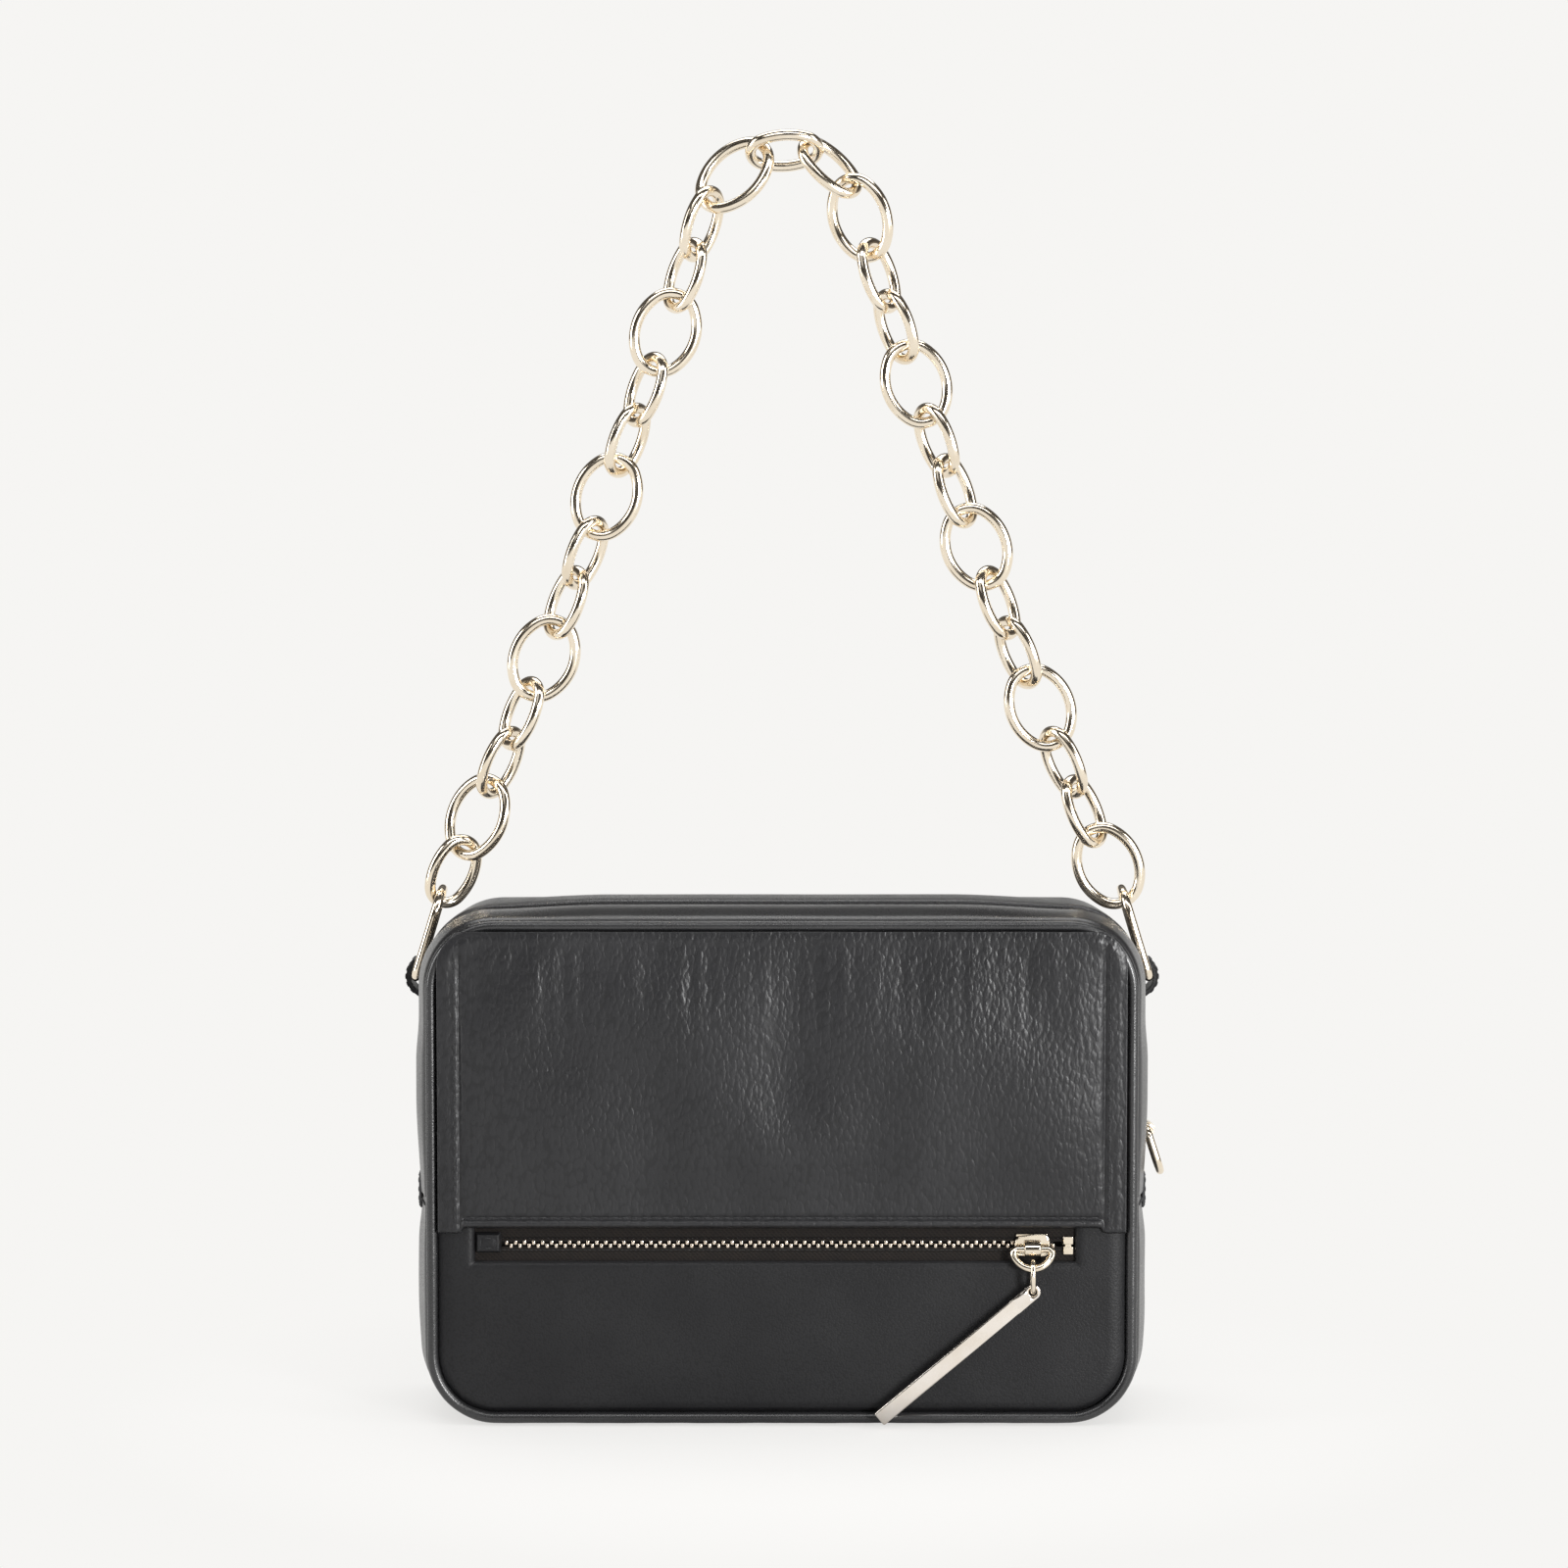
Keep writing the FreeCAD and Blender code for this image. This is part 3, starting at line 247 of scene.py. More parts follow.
# Mesh helpers, all in millimetres
def add_piece(name, verts, faces, material, slot, replaced=(), body="bag"):
    """Piece that rides a body and hides the nodes that it replaces; its slot argument is not used."""
    piece = add_mesh(name, verts * MM, faces)
    mesh = piece.data
    mesh.validate()
    mesh.polygons.foreach_set("use_smooth", [True] * len(mesh.polygons))
    mesh.materials.append(material)
    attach(piece, body)
    if replaced:
        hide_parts(*replaced)
    return piece


def ripple(u, v, length, seed):
    """Smooth undulation of about unit size over two coordinates, with a given wavelength."""
    rng = np.random.default_rng(seed)
    total = np.zeros(np.broadcast(u, v).shape)
    waves = 9
    for _ in range(waves):
        turn, phase = rng.uniform(0, math.tau, 2)
        wave = length * rng.uniform(0.7, 1.6)
        total += np.sin((u * math.cos(turn) + v * math.sin(turn)) * math.tau / wave + phase)
    return total / (1.6 * math.sqrt(waves / 2))


def ease(x, low, high):
    """Smooth step from 0 at low to 1 at high."""
    t = np.clip((np.asarray(x, float) - low) / (high - low), 0, 1)
    return t * t * (3 - 2 * t)


def bell(x, middle, wide):
    """Rounded ridge of height 1."""
    return np.exp(-((x - middle) / wide) ** 2)


def outline(run, inset=0.0):
    """x, z and outward normal at a distance along the outline from the middle of the base."""
    run = run % GIRTH
    edge = HALF_W - CORNER
    high = HIGH - CORNER
    turns = ((edge, CORNER, -0.5), (edge, high, 0.0), (-edge, high, 0.5), (-edge, CORNER, 1.0))
    lengths = (TOP / 2, SIDE, TOP, SIDE)
    radius = CORNER - inset
    for (cx, cz, quarter), straight in zip(turns, lengths):
        nx, nz = math.cos(quarter * math.pi), math.sin(quarter * math.pi)
        if run <= straight:
            back = straight - run
            return cx + nx * radius + nz * back, cz + nz * radius - nx * back, nx, nz
        run -= straight
        if run <= ARC:
            angle = quarter * math.pi + run / CORNER
            nx, nz = math.cos(angle), math.sin(angle)
            return cx + nx * radius, cz + nz * radius, nx, nz
        run -= ARC
    return -edge + run, inset, 0.0, -1.0


def run_at(z):
    """Distance along the outline to a height on the right side."""
    return TOP / 2 + ARC + (z - CORNER)


ZIP_START, ZIP_STOP = run_at(ZIP_END), GIRTH - run_at(ZIP_END)


def drawn_in(x, depth):
    """Width drawn in towards the front and back seams, as the gusset swells between them."""
    return x * (1 - SEAM_PULL / HALF_W * ease(np.abs(depth), SEAM_PULL_FROM, STRIP_EDGE))


def loft(rings, closed=False):
    """Skin over rings of equal count, capped at both ends unless closed."""
    count, across = len(rings), len(rings[0])
    faces = []
    for i in range(count if closed else count - 1):
        a, b = i * across, (i + 1) % count * across
        for j in range(across):
            k = (j + 1) % across
            faces.append((a + j, a + k, b + k, b + j))
    if not closed:
        faces.append(tuple(range(across))[::-1])
        faces.append(tuple(range((count - 1) * across, count * across)))
    return np.concatenate(rings), faces


def sweep(runs, section, closed=False):
    """Solid along the outline. section(run) gives the profile as depth and outward offset."""
    rings = []
    for run in runs:
        x, z, nx, nz = outline(run)
        depth, out = section(run)
        rings.append(np.stack([drawn_in(x + nx * out, depth), depth, z + nz * out], axis=1))
    return loft(rings, closed)


def flipped(mesh, flip=True):
    """The same mesh with its faces turned to their other side."""
    verts, faces = mesh
    return verts, [f[::-1] for f in faces] if flip else faces


def profile(points, steps):
    """Closed profile through points, rounded by a Catmull-Rom spline."""
    points = np.asarray(points, float)
    t = np.linspace(0, 1, steps, endpoint=False)[:, None]
    out = []
    for i in range(len(points)):
        a, b, c, d = (points[(i + k) % len(points)] for k in (-1, 0, 1, 2))
        curve = 2 * b + (c - a) * t + (2 * a - 5 * b + 4 * c - d) * t ** 2 + (3 * b - a - 3 * c + d) * t ** 3
        out.append(0.5 * curve)
    return np.concatenate(out)


def merge(parts):
    """One mesh from several pairs of vertices and faces."""
    verts, faces, shift = [], [], 0
    for part_verts, part_faces in parts:
        verts.append(part_verts)
        faces += [tuple(i + shift for i in f) for f in part_faces]
        shift += len(part_verts)
    return np.concatenate(verts), faces


def moved(mesh, offset):
    """The same mesh at another place."""
    return mesh[0] + offset, mesh[1]


def stamp(template, places):
    """Copies of a small mesh: places holds pairs of an origin and axes as rows."""
    verts, faces = template
    return merge([(verts @ np.asarray(axes) + origin, faces) for origin, axes in places])


def rounded_block(sx, sy, sz, bevel):
    """Block with rounded edges, centred on the origin: vertices and faces."""
    bm = bmesh.new()
    bmesh.ops.create_cube(bm, size=1.0)
    bmesh.ops.scale(bm, vec=(sx, sy, sz), verts=bm.verts)
    bmesh.ops.bevel(bm, geom=bm.edges[:], offset=bevel, segments=2, profile=0.5, affect="EDGES")
    bm.verts.ensure_lookup_table()
    verts = np.array([v.co for v in bm.verts])
    faces = [tuple(v.index for v in f.verts) for f in bm.faces]
    bm.free()
    return verts, faces


def stitch_template(length, radius):
    """One stitch lying along x with its ends dipping into the leather, z up."""
    angle = np.arange(6) * math.tau / 6
    dips = ((-0.5, -0.9, 0.4), (-0.36, 0.1, 0.95), (0, 0.45, 1.0), (0.36, 0.1, 0.95), (0.5, -0.9, 0.4))
    rings = []
    for along, height, size in dips:
        rings.append(np.stack([np.full(6, along * length), np.cos(angle) * radius * size,
                               height * radius + np.sin(angle) * radius * size], axis=1))
    return loft(rings)


STITCH = stitch_template(2.5, 0.3)
FINE_STITCH = stitch_template(2.0, 0.21)


def read_line(steps, values, place):
    """Point or direction at a distance along a line."""
    return np.array([np.interp(place, steps, values[:, i]) for i in range(3)])


def sew(name, lines, pitch=3.1, stitch=STITCH):
    """Rows of stitches. Each line is (points, outward normals), both in order along the row."""
    places = []
    for points, normals in lines:
        points, normals = np.asarray(points, float), np.asarray(normals, float)
        steps = np.r_[0, np.cumsum(np.linalg.norm(np.diff(points, axis=0), axis=1))]
        count = max(1, int(steps[-1] / pitch))
        for k in range(count):
            place = (k + 0.5) * steps[-1] / count
            near, here, far = (read_line(steps, points, place + d) for d in (-1, 0, 1))
            along = (far - near) / np.linalg.norm(far - near)
            up = read_line(steps, normals, place)
            up = up - along * (up @ along)
            up /= np.linalg.norm(up)
            places.append((here, np.stack([along, np.cross(up, along), up])))
    add_piece(name, *stamp(stitch, places), thread, "zip_tape")


def grid_points(x, y, z):
    """Vertices of a grid from its three coordinates."""
    return np.stack([x, y, z], axis=2).reshape(-1, 3)


def grid_faces(rows, columns, keep=None, flip=False):
    """Quads of a grid. keep(row, column) says which of them stay."""
    faces = []
    for j in range(rows - 1):
        for i in range(columns - 1):
            if keep is None or keep(j, i):
                low, high = j * columns + i, (j + 1) * columns + i
                quad = (low, low + 1, high + 1, high)
                faces.append(quad[::-1] if flip else quad)
    return faces


def half_width(z, half, low, high, radius):
    """Half width of an upright rounded rectangle at a height."""
    z = np.asarray(z, float)
    dip = np.maximum(np.maximum(low + radius - z, z - (high - radius)), 0)
    return half - radius + np.sqrt(np.maximum(radius ** 2 - dip ** 2, 0))


def round_rows(low, high, radius, step, low_round=True):
    """Heights of grid rows, following the corner arcs."""
    arc = radius * (1 - np.cos(np.linspace(0, math.pi / 2, 12)))
    start = low + arc if low_round else np.array([low])
    end = high - arc[::-1]
    middle = np.linspace(start[-1], end[0], int((end[0] - start[-1]) / step) + 2)[1:-1]
    return np.concatenate([start, middle, end])


def spread(rows, columns, wide):
    """x and z of a grid whose rows have widths of their own."""
    return columns[None, :] * wide[:, None], np.repeat(rows[:, None], len(columns), axis=1)


def thicken(piece, thickness):
    """Gives a sheet its thickness, away from its face, and drops points that no face uses."""
    bm = bmesh.new()
    bm.from_mesh(piece.data)
    bmesh.ops.delete(bm, geom=[v for v in bm.verts if not v.link_faces], context="VERTS")
    bmesh.ops.solidify(bm, geom=bm.faces[:], thickness=thickness * MM)
    for face in bm.faces:
        face.smooth = True
    bm.to_mesh(piece.data)
    bm.free()


def settle(verts, rim, slack):
    """Cloth run of a sheet held at its rim, under pressure from behind. Gives each point's bulge."""
    frames = 22
    sheet = add_mesh("sheet", verts * MM, grid_faces(*rim.shape))
    group = sheet.vertex_groups.new(name="seam")
    group.add([int(i) for i in np.flatnonzero(rim.ravel())], 1.0, "REPLACE")
    settings = sheet.modifiers.new("cloth", "CLOTH").settings
    settings.vertex_group_mass = "seam"
    settings.quality = 6
    settings.mass = 0.05
    settings.tension_stiffness = settings.compression_stiffness = 60
    settings.bending_stiffness = 10
    settings.shrink_min = -slack
    settings.use_pressure = True
    settings.uniform_pressure_force = 4.0
    settings.effector_weights.gravity = 0.0
    for number in range(1, frames + 1):
        scene.frame_set(number)
    settled = sheet.evaluated_get(bpy.context.evaluated_depsgraph_get())
    flat = np.zeros(len(verts) * 3)
    settled.data.vertices.foreach_get("co", flat)
    scene.frame_set(1)
    bpy.data.objects.remove(sheet)
    return -flat.reshape(*rim.shape, 3)[:, :, 1] / MM


def relax(wide, tall, push, seed, slack=0.003):
    """Bulge of a leather sheet held at its edges, as a function of x and z in 0..1."""
    step, smoothing, least = 4.0, 3, 0.2
    across, up = int(wide / step) + 1, int(tall / step) + 1
    u, v = np.meshgrid(np.linspace(0, 1, across), np.linspace(0, 1, up))
    dome = np.sin(math.pi * u) ** 0.6 * np.sin(math.pi * v) ** 0.6
    start = dome * (0.5 * push + 0.25 * ripple(u * wide, v * tall, 46, seed))
    rim = (u == 0) | (u == 1) | (v == 0) | (v == 1)
    bulge = settle(grid_points(u * wide, -start, v * tall), rim, slack)
    for _ in range(smoothing):
        padded = np.pad(bulge, 1, mode="edge")
        beside = padded[1:-1, 2:] + padded[1:-1, :-2]
        bulge = (4 * bulge + beside + padded[2:, 1:-1] + padded[:-2, 1:-1]) / 8
    bulge = np.maximum(bulge, 0) / max(bulge.max(), least) * push

    def at(x, z):
        """Bilinear reading of the settled sheet."""
        x = np.clip(np.asarray(x, float), 0, 1) * (across - 1)
        z = np.clip(np.asarray(z, float), 0, 1) * (up - 1)
        i, j = np.minimum(x.astype(int), across - 2), np.minimum(z.astype(int), up - 2)
        fx, fz = x - i, z - j
        return ((bulge[j, i] * (1 - fx) + bulge[j, i + 1] * fx) * (1 - fz)
                + (bulge[j + 1, i] * (1 - fx) + bulge[j + 1, i + 1] * fx) * fz)
    return at


# Piping round both edges of the box
def make_piping(name, node, hand):
    """Round cord in a seam, a little uneven along its run."""
    angle = np.linspace(0, math.tau, 18, endpoint=False)

    def section(run):
        swell = PIPE_R * (1 + 0.018 * math.sin(run * 0.19 + hand) + 0.012 * math.sin(run * 0.53))
        return hand * PIPE_Y + swell * np.cos(angle), -PIPE_INSET + swell * np.sin(angle)
    runs = np.linspace(0, GIRTH, 560, endpoint=False)
    add_piece(name, *sweep(runs, section, True), edge_leather, "smooth_leather", [node])


for tag, hand in FACES:
    make_piping(f"piping_{tag}", f"{tag}_piping", hand)


# Gusset: two leather strips beside the zip, and one strip under the base
def crown(run, depth):
    """Rise of the soft top of the bag between its two corners."""
    corner = run_at(HIGH - CORNER) + ARC
    outside, inside, ridge, front_reach, back_from = 4, 36, -5, 25.5, 21.0
    start = ease(run, corner - outside, corner + inside)
    end = ease(run, GIRTH - corner - inside, GIRTH - corner + outside)
    lean = np.minimum(np.asarray(depth, float) - ridge, 0) / front_reach
    return CROWN_RISE * float(start * (1 - end)) * (1 - lean ** 2) * (1 - ease(depth, back_from, STRIP_EDGE))


def held(run):
    """1 where the strap rings lie on the back strip, beside the loops and round the corners, else 0."""
    middle, half, fade = run_at(146.0), 34.0, 14.0
    away = min(abs(run - middle), abs(run - GIRTH + middle))
    return float(1 - ease(away, half - fade, half))


def across_strip(depth):
    """Place across a zip strip, from 0 at its seam to 1 at its lip."""
    return (STRIP_EDGE - depth) / (STRIP_EDGE - STRIP_LIP)


def strip_lift(run, share, hand):
    """Soft swell of a zip strip. The back one lies flat under the rings, and nearly so on top."""
    least, on_top, on_side, uneven, back_top = 0.35, 0.55, 0.9, 0.12, 0.2
    along = ease(run, ZIP_START - 6, ZIP_START + 30) * (1 - ease(run, ZIP_STOP - 30, ZIP_STOP + 6))
    side = abs(outline(run)[2])
    swell = least + (on_top + on_side * side * (1 - held(run))) * along
    swell += uneven * float(ripple(run, share * 26, 38, 11 + (hand > 0)))
    if hand > 0:
        swell *= (side + back_top * (1 - side)) * (1 - held(run))
    return math.sin(math.pi * share) ** 0.8 * swell


def make_strip(name, node, hand):
    """Leather strip beside the main zip. Gives the points and normals of its row of stitches."""
    face = np.array([30.2, 29.4, 28.4, 26.0, 22.5, 19.0, 15.5, 12.0, 9.6, 8.3, 7.7, 7.1, 6.2, 5.2])
    lip = [(4.62, -0.05), (4.5, -0.8), (4.8, -1.55)]
    under = [(12.0, -1.7), (22.0, -1.7), (29.6, -2.2)]
    hidden, hidden_level = np.array(lip + under).T
    groove_deep, groove_wide, lip_rise, row_sink, held_sink = 0.32, 0.5, 0.35, 0.18, 0.25
    dip = -SEAM_DIP * ease(face, SEAM_DIP_FROM, SEAM_DIP_TO)
    groove = lip_rise * ease(-face, -7.5, -6.6) - groove_deep * bell(face, STRIP_ROW, groove_wide)

    def section(run):
        swell = np.array([strip_lift(run, share, hand) for share in across_strip(face)])
        top = swell + dip + groove + crown(run, hand * face)
        return hand * np.r_[face, hidden], np.r_[top, hidden_level + crown(run, hand * hidden)]
    runs = np.linspace(ZIP_START + 0.1, ZIP_STOP - 0.1, 300)
    add_piece(name, *flipped(sweep(runs, section), hand > 0), edge_leather, "smooth_leather", [node])
    line, normals = [], []
    for run in runs:
        x, z, nx, nz = outline(run)
        lift = strip_lift(run, across_strip(STRIP_ROW), hand) - row_sink + float(crown(run, hand * STRIP_ROW))
        if hand > 0:
            lift -= held_sink * held(run)
        line.append((float(drawn_in(x + nx * lift, STRIP_ROW)), hand * STRIP_ROW, z + nz * lift))
        normals.append((nx, 0, nz))
    return line, normals


strip_rows = [make_strip(f"zip_strip_{tag}", f"zip_gusset_{tag}", hand) for tag, hand in FACES]
sew("stitch_zip_strips", strip_rows)


def make_base():
    """Wide strip under the base and up the lower sides, where it swells."""
    face = np.concatenate([[-30.2, -29.4, -28.4], np.linspace(-26, 26, 15), [28.4, 29.4, 30.2]])
    inner = np.array([29.6, 15.0, 0.0, -15.0, -29.6])
    inner_level = [-2.2, -1.75, -1.75, -1.75, -2.2]
    bulge, uneven, end_dip = 1.5, 0.2, 0.3
    length, ends = 2 * ZIP_START, np.array([0.05, 0.5, 1.2, 2.4])
    dip = SEAM_DIP * ease(np.abs(face), SEAM_DIP_FROM, SEAM_DIP_TO)
    share = (face + STRIP_EDGE) / (2 * STRIP_EDGE)
    across = np.sin(math.pi * share) ** 0.7

    def section(run):
        away = min(run - ZIP_STOP, ZIP_START + GIRTH - run)
        upright = 1 - float(ease(away, 34, 66))
        swell = upright * across * (bulge + uneven * ripple(run, face, 34, 5))
        edge = end_dip * (1 - float(ease(away, 0.6, 2.4)))
        return np.r_[face, inner], np.r_[swell * float(ease(away, 1, 16)) - dip - edge, inner_level]
    runs = np.concatenate([ends, np.linspace(5, length - 5, 180), length - ends[::-1]]) + ZIP_STOP
    strip = flipped(sweep(runs, section))
    add_piece("gusset_base", *strip, edge_leather, "smooth_leather", ["bottom_gusset"])
    row_x, row_ys, row_z = HALF_W + 0.12, np.linspace(-27.5, 27.5, 40), ZIP_END - 2.6
    for tag, hand in SIDES:
        row = [(float(drawn_in(hand * row_x, y)), y, row_z) for y in row_ys]
        sew(f"stitch_base_{tag}", [(row, [(hand, 0, 0)] * len(row))])


make_base()


# Panels: leather sheets sewn in behind the piping
def slot_grid(rows, columns, edge):
    """Rows and columns of the front panel, closer round the pocket's slot."""
    x0, x1, z0, z1 = SLOT
    pads = np.array([0.0, 0.2, 0.5, 1.0, 1.6, 2.4])
    clear_x, clear_z = 3.2, 3.0
    plain_rows = rows[(rows < z0 - clear_z) | (rows > z1 + clear_z)]
    x = columns * edge
    plain_columns = columns[(np.abs(x - x0) > clear_x) & (np.abs(x - x1) > clear_x)]
    rows = np.r_[plain_rows, z0 - pads, z1 + pads, np.linspace(z0 + 2, z1 - 2, 4)]
    columns = np.r_[plain_columns, np.r_[x0 - pads, x1 + pads] / edge]
    return np.unique(np.round(rows, 4)), np.unique(np.round(columns, 6))


def make_panel(name, node, hand, push, seed, slotted=False):
    """Leather sheet with the body's outline, which falls to the piping and to the slot."""
    edge, top, radius = HALF_W - PANEL_INSET, HIGH - PANEL_INSET, CORNER - PANEL_INSET
    seam_fall, rim_fall, rim_wide, seam_depth = 2.7, 1.7, 2.4, 31.0
    tall = HIGH - 2 * PANEL_INSET
    rows, columns = round_rows(PANEL_INSET, top, radius, 2.6), np.linspace(-1, 1, 96)
    if slotted:
        rows, columns = slot_grid(rows, columns, edge)
    x, z = spread(rows, columns, half_width(rows, edge, PANEL_INSET, top, radius))
    straight = np.minimum(edge - np.abs(x), np.minimum(z - PANEL_INSET, top - z))
    aside = np.maximum(np.abs(x) - (edge - radius), 0)
    above = np.maximum(np.abs(z - HIGH / 2) - (HIGH / 2 - PANEL_INSET - radius), 0)
    reach = np.maximum(np.minimum(straight, radius - np.hypot(aside, above)), 0)
    fall = seam_fall * (1 - ease(reach, 0.5, 3.4))
    settled = relax(2 * edge, tall, push, seed)
    puff = settled((x + edge) / (2 * edge), (z - PANEL_INSET) / tall)
    x0, x1, z0, z1 = SLOT
    if slotted:
        puff *= 1 - ease(z, 20, 48) * 0.9
        gap = np.maximum(np.maximum(x0 - x, x - x1), np.maximum(z0 - z, z - z1))
        near = np.clip(1 - np.maximum(gap, 0) / rim_wide, 0, 1)
        fall += rim_fall * (1 - np.sqrt(1 - near ** 2))

    def keep(j, i):
        middle_x, middle_z = (x[j, i] + x[j, i + 1]) / 2, (z[j, i] + z[j + 1, i]) / 2
        return not (slotted and x0 < middle_x < x1 and z0 < middle_z < z1)
    verts = grid_points(drawn_in(x, seam_depth), hand * (PANEL_Y - fall + puff), z)
    faces = grid_faces(len(rows), len(columns), keep, hand > 0)
    thicken(add_piece(name, verts, faces, smooth_leather, "smooth_leather", [node]), PANEL_THICK)


make_panel("panel_front", "front_panel", -1, push=1.5, seed=21, slotted=True)
make_panel("panel_back", "back_panel", 1, push=2.2, seed=22)


# Flap: pebbled leather over the pocket, with folded side bands and a rolled hem
def flap_grid():
    """Rows and columns of the flap, closer at its hem, its seams and its edges."""
    hem = np.array([0, 0.25, 0.6, 1.0, 1.5, 2.0, 2.5, 2.9, 3.3, 3.8, 4.4, 5.2])
    rows = np.r_[HEM + hem, round_rows(HEM + 6, FLAP_TOP, FLAP_R, 1.1, False)]
    seam = np.array([-0.9, -0.5, -0.2, 0.1, 0.4, 0.8, 1.3])
    edge = np.array([0, 0.25, 0.6, 1.1, 1.8, 2.8])
    plain = np.linspace(-FLAP_HALF, FLAP_HALF, 196)
    plain = plain[(np.abs(np.abs(plain) - FLAP_BAND) > 1.6) & (np.abs(plain) < FLAP_HALF - 3.2)]
    close = np.r_[FLAP_BAND + seam, FLAP_HALF - edge]
    return np.unique(np.round(rows, 4)), np.unique(np.round(np.r_[plain, close, -close], 4))


def make_flap():
    """The flap's sheet and its three rows of stitches."""
    seam_deep, band_rise, band_drop, groove_deep, roll_rise = 0.45, 0.25, 1.6, 0.75, 0.7
    hem_turn, edge_fall, piped_rise, crease, swell, proud = 1.5, 1.9, 0.35, 0.1, 0.3, 0.02
    rows, columns = flap_grid()
    wide = half_width(rows, FLAP_HALF, HEM - 40, FLAP_TOP, FLAP_R) / FLAP_HALF
    x, z = spread(rows, columns, wide)
    tall = FLAP_TOP - HEM
    settled = relax(2 * FLAP_HALF, tall, push=2.4, seed=31, slack=0.004)
    puff = settled((x + FLAP_HALF) / (2 * FLAP_HALF), (z - HEM) / tall)
    puff *= ease(z, HEM + 3, HEM + 22) * 0.75 + 0.25
    side = FLAP_HALF * wide[:, None] - np.abs(x)
    top = FLAP_TOP - z
    past = np.abs(x) - (FLAP_HALF - FLAP_R)
    corner = FLAP_R - np.hypot(np.maximum(past, 0), np.maximum(FLAP_R - top, 0))
    turned = (past > 0) & (top < FLAP_R)
    rim = np.maximum(np.minimum(np.minimum(side, top), np.where(turned, corner, np.inf)), 0)
    beyond = np.maximum(np.abs(x) - (HALF_W - SEAM_PULL - CORNER), 0)
    piped = ease(np.hypot(beyond, np.maximum(z - (HIGH - CORNER), 0)), 14.5, 17.5)
    inner = ease(FLAP_BAND - np.abs(x), 0.0, 1.2)
    seam = -seam_deep * bell(np.abs(x), FLAP_BAND, 0.55)
    raised = band_rise * (1 - inner)
    roll = (roll_rise * bell(z - HEM, 1.7, 1.0) - groove_deep * bell(z - HEM, HEM_ROW, 0.6)) * inner
    lower = -hem_turn * np.clip(1 - (z - HEM) / 1.1, 0, 1) ** 2
    fall = -edge_fall * (1 - ease(rim, 0.2, 2.6)) * (1 - 0.75 * piped) + piped_rise * piped
    creases = crease * ripple(x, z * 0.12, 6.5, 41) * ease(top, 3, 8) * (1 - ease(top, 14, 40))
    soft = swell * ripple(x, z, 44, 42) * ease(rim, 4, 22) * ease(z, HEM + 6, HEM + 24)
    depth = FLAP_Y + puff * inner + seam + raised + roll + lower + fall + creases + soft
    verts = grid_points(x, -depth, z - band_drop * (1 - inner) * (1 - ease(z, HEM, HEM + 8)))
    faces = grid_faces(len(rows), len(columns))
    thicken(add_piece("flap_leather", verts, faces, pebble_leather, "pebbled_leather", ["flap"]), FLAP_THICK)

    def row_at(xs, zs):
        """Row of stitches on the flap's face: points and normals."""
        points = []
        for a, b in zip(xs, zs):
            j = np.abs(rows - b).argmin()
            i = np.abs(columns - a / wide[j]).argmin()
            points.append((a, -depth[j, i] - proud, b))
        return points, [(0, -1, 0)] * len(points)
    heights = np.linspace(HEM + 1.5, FLAP_TOP - 6, 60)
    across = np.linspace(-FLAP_BAND + 2, FLAP_BAND - 2, 120)
    lines = [row_at([hand * (FLAP_BAND + 1.5)] * len(heights), heights) for hand in (-1, 1)]
    lines.append(row_at(across, [HEM + HEM_ROW] * len(across)))
    sew("stitch_flap", lines)


make_flap()


# Strap loops, zip end tabs and the pocket's tab
def half_turn(t):
    """Direction that turns from down at 0, by way of outwards, to up at 1."""
    angle = -math.pi / 2 + math.pi * t
    return math.cos(angle), math.sin(angle)


def strap_loop(name, node, hand):
    """Half-round leather loop with two rows of fine stitches."""
    section = profile([(-6, -0.35), (-5.6, -0.75), (0, -0.8), (5.6, -0.75), (6, -0.35), (6, 0.3), (5.6, 0.7),
                       (0, 0.86), (-5.6, 0.7), (-6, 0.3)], 3)
    row_radius, row_offset = 6.68, 4.6
    rings = []
    for t in np.linspace(0, 1, 46):
        nx, nz = half_turn(t)
        bend = math.sin(math.pi * t)
        out = LOOP_R - 0.15 * bend + 0.36 * abs(2 * t - 1) ** 6 + section[:, 1]
        rings.append(np.stack([hand * (LOOP_X + nx * out), LOOP_Y + section[:, 0] * (1 - 0.03 * bend),
                               LOOP_Z + nz * out], axis=1))
    add_piece(name, *flipped(loft(rings), hand < 0), smooth_leather, "smooth_leather", [node])
    turns = [half_turn(t) for t in np.linspace(0.06, 0.94, 20)]
    normals = [(hand * nx, 0, nz) for nx, nz in turns]
    lines = []
    for y in (LOOP_Y - row_offset, LOOP_Y + row_offset):
        points = [(hand * (LOOP_X + nx * row_radius), y, LOOP_Z + nz * row_radius) for nx, nz in turns]
        lines.append((points, normals))
    sew(name + "_stitch", lines, pitch=2.6, stitch=FINE_STITCH)


for tag, hand in SIDES:
    strap_loop(f"strap_loop_{tag}", f"side_loop_{tag}", hand)


